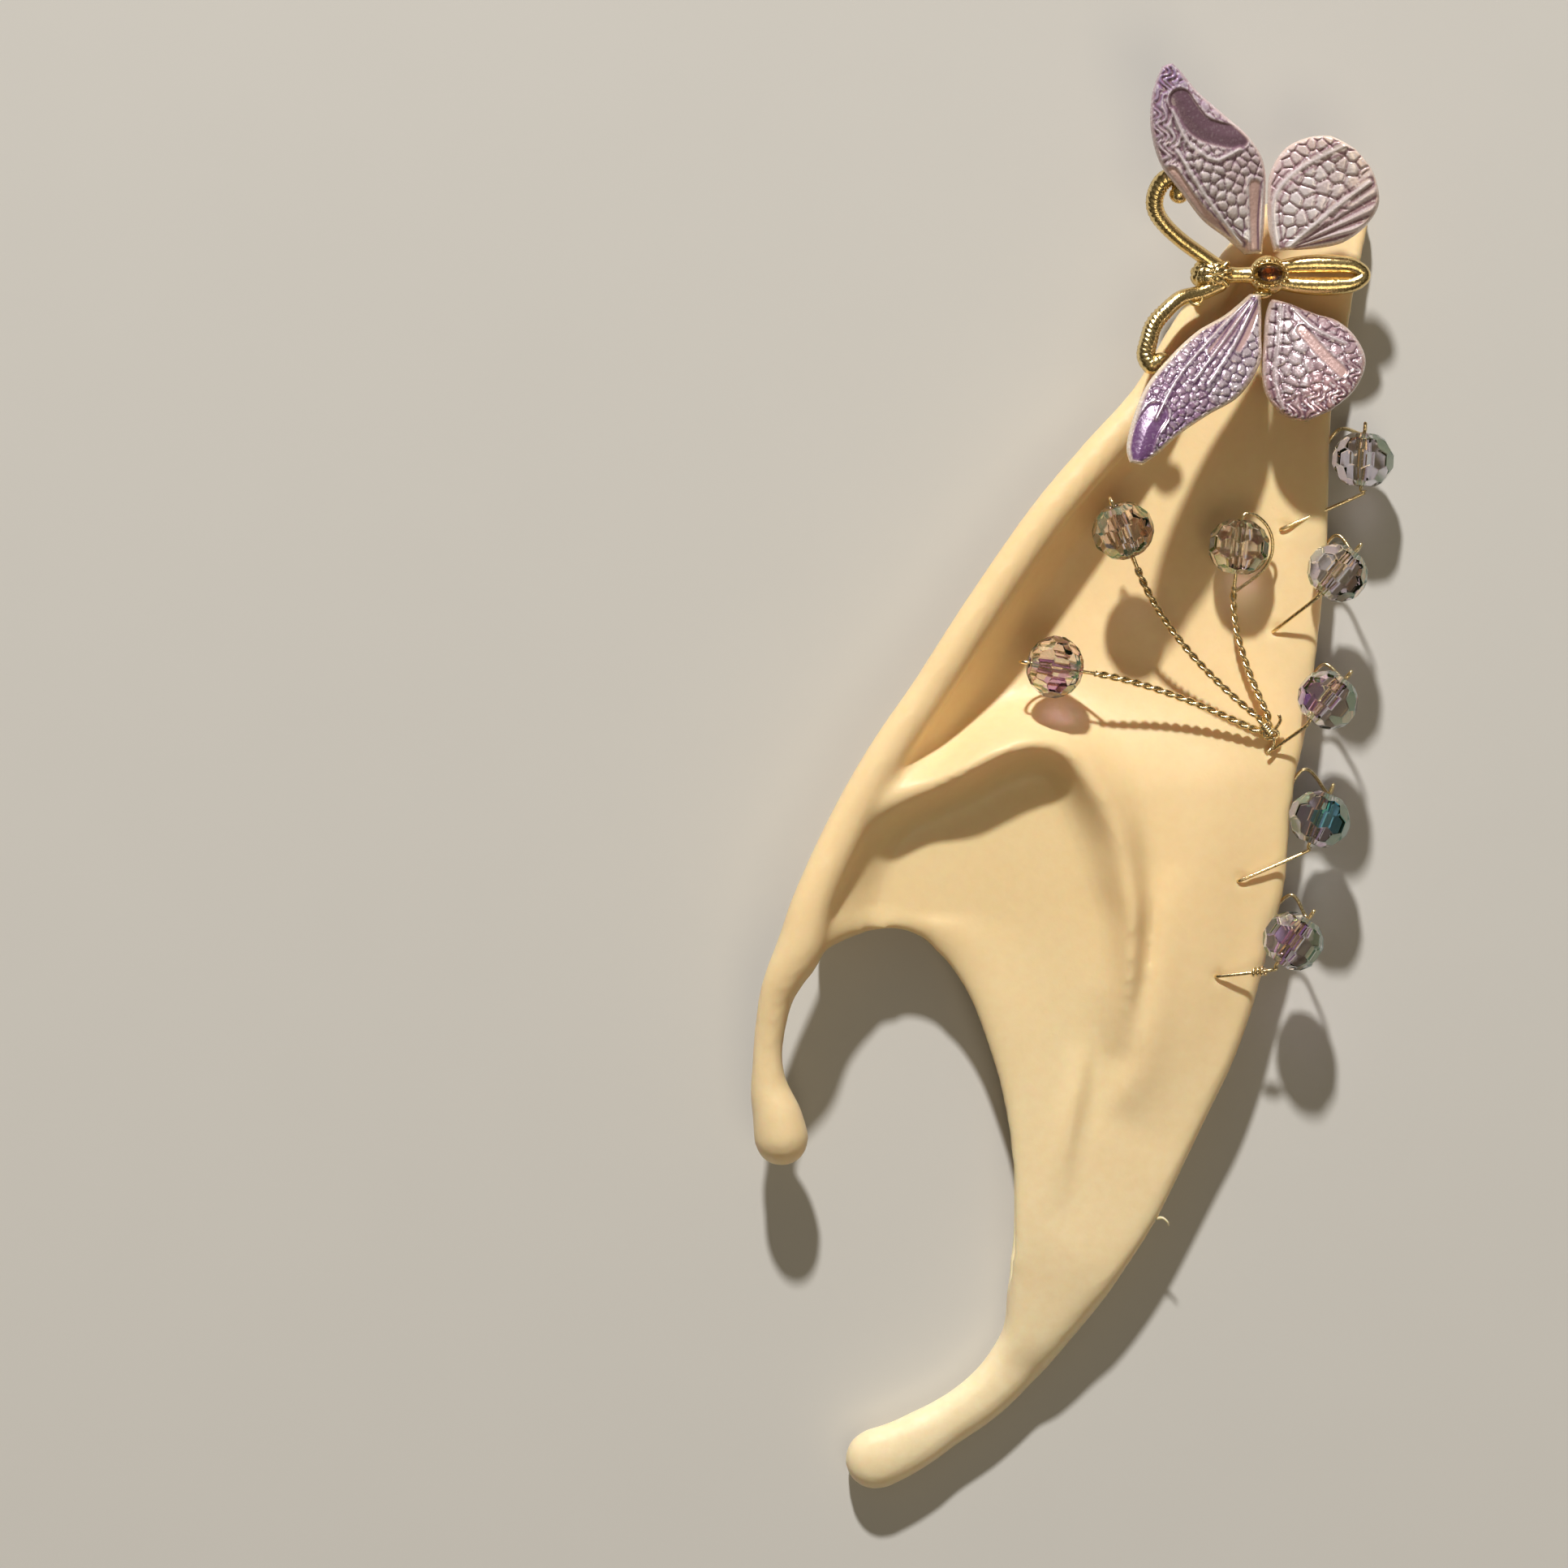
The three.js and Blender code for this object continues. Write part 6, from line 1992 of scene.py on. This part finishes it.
@dataclass
class Studio:
    """The pale floor, the lights and the camera over the photograph's middle."""

    middle: Array = field(default_factory=lambda: np.array([-37.63, -0.07, 8.0]))
    view_width: float = 205.3
    camera_height: float = 900.0
    key_way: tuple[float, float, float] = (-0.115, 0.810, 0.574)
    key_distance: float = 2000.0
    key_size: float = 120.0
    key_power: float = 48.0
    key_colour: Colour = (1.0, 0.965, 0.91)
    soft_way: tuple[float, float, float] = (0.15, -0.36, 0.92)
    soft_size: float = 1000.0
    soft_power: float = 6.0
    soft_colour: Colour = (1.0, 0.85, 0.60)
    fill_strength: float = 0.10

    def build(self, effects: Effects) -> None:
        """Sets up the camera, the lights, the world and the floor."""
        camera_data = bpy.data.cameras.new("camera")
        camera_data.sensor_width = 36.0
        camera_data.lens = 36.0 * self.camera_height / self.view_width
        camera_data.clip_start, camera_data.clip_end = 0.05, 20.0
        camera = bpy.data.objects.new("camera", camera_data)
        camera.location = (self.middle + np.array([0, 0, self.camera_height])) * MM
        bpy.context.scene.collection.objects.link(camera)
        bpy.context.scene.camera = camera
        bpy.context.scene.view_settings.view_transform = "Standard"
        self.lamp("key_light", np.array(self.key_way), self.key_size, self.key_power, self.key_colour)
        self.lamp("soft_top", np.array(self.soft_way), self.soft_size, self.soft_power, self.soft_colour)
        self.world()
        work = bmesh.new()
        bmesh.ops.create_grid(work, x_segments=24, y_segments=24, size=1.6)
        mesh = bpy.data.meshes.new("pale_floor")
        work.to_mesh(mesh)
        work.free()
        floor = bpy.data.objects.new("pale_floor", mesh)
        floor.location = (0, 0, -0.00005)
        floor.data.materials.append(FloorFinish().material(effects))
        bpy.context.scene.collection.objects.link(floor)

    def lamp(self, name: str, way: Array, size: float, power: float, colour: Colour) -> None:
        """Adds a square soft light that shines on the ear from one way."""
        data = bpy.data.lights.new(name, "AREA")
        data.shape = "DISK"
        data.size = size * MM
        data.energy = power
        data.color = colour
        made = bpy.data.objects.new(name, data)
        made.location = unit(way) * self.key_distance * MM
        made.rotation_mode = "QUATERNION"
        made.rotation_quaternion = Vector(unit(way)).to_track_quat("Z", "Y")
        bpy.context.scene.collection.objects.link(made)

    def world(self) -> None:
        """A plain studio round the object: bright overhead, darker towards the horizon."""
        world = bpy.data.worlds.new("studio")
        world.use_nodes = True
        bpy.context.scene.world = world
        board = Board(world.node_tree)
        way = board.node("TexCoord").outputs["Generated"]
        height = board.node("SeparateXYZ", {"Vector": way}).outputs["Z"]
        colour = board.ramp(height, [
            (0.0, (0.33, 0.26, 0.17)), (0.35, (0.42, 0.35, 0.24)), (0.62, (0.98, 0.86, 0.64)),
            (0.85, (1.4, 1.26, 1.0)),
        ])
        shade = world.node_tree.nodes["Background"]
        board.tree.links.new(colour, shade.inputs["Color"])
        shade.inputs["Strength"].default_value = self.fill_strength


def main() -> None:
    """Builds the studio and every piece in order."""
    logging.basicConfig(level=logging.INFO, format="%(name)s %(message)s", force=True)
    effects = Effects()
    Studio().build(effects)
    gold = GoldFinish().material(effects)
    wire_gold = GoldFinish(name="wire_gold", bright=(0.95, 0.80, 0.50), deep=(0.70, 0.50, 0.24),
                           polish=0.18, dull=0.3).material(effects)
    crystal = GlassFinish(
        "rainbow_crystal", (0.96, 0.93, 0.92), coat_film=380.0, mirror=0.08
    ).material(effects)
    frosted = GlassFinish("ground_bore", (0.97, 0.95, 0.96), rough=0.45).material(effects)
    # Painted reflection: a less clear, tinted glass for the facets with the strongest painted glints of the
    # coat.
    flash = GlassFinish("painted_rainbow_flash", (1.0, 1.0, 1.0), clear=0.4, coat_film=420.0).material(effects)
    amber = GlassFinish("dark_amber", (0.36, 0.17, 0.06)).material(effects)
    # Painted light and shade: the upper wings take brighter tints and the lower wings darker tints of the
    # same resins, for how each pair catches the light.
    finishes = {
        "forewing_upper": WingFinish(
            "violet_resin", (0.96, 0.80, 0.74), (0.88, 0.70, 0.80), (0.20, 0.06, 0.34), (0.30, 0.17, 0.25),
            plain=(0.80, 0.52, 0.46), dark=(0.15, 0.08, 0.13), silver=(1.0, 0.96, 1.0), pearl_metal=0.05),
        "forewing_lower": WingFinish(
            "violet_resin_painted_shade",
            (0.56, 0.38, 0.39), (0.34, 0.20, 0.31), (0.18, 0.05, 0.28), (0.11, 0.05, 0.12),
            dark=(0.13, 0.05, 0.18), silver=(0.82, 0.75, 0.82), rim=(1.0, 0.86, 0.66), rim_share=0.8),
        "hindwing_upper": WingFinish(
            "pink_resin", (0.94, 0.76, 0.76), (0.86, 0.68, 0.74), (0.96, 0.76, 0.66), (0.36, 0.20, 0.25),
            silver=(1.0, 0.96, 1.0), pearl_metal=0.10),
        "hindwing_lower": WingFinish(
            "pink_resin_painted_shade",
            (0.52, 0.37, 0.41), (0.44, 0.28, 0.33), (0.34, 0.14, 0.13), (0.13, 0.06, 0.09),
            silver=(0.74, 0.67, 0.71)),
    }
    resins = {name: finish.material(effects) for name, finish in finishes.items()}
    ear = MouldedEar()
    holes = BeadTrim(ear).build(wire_gold, (crystal, frosted, flash))
    latex = LatexFinish().material(effects)
    finish_piece(ear.build(holes), ["ear_shell"], "latex", latex)
    Butterfly(ear).build(gold, amber, resins)


if __name__ == "__main__":
    main()
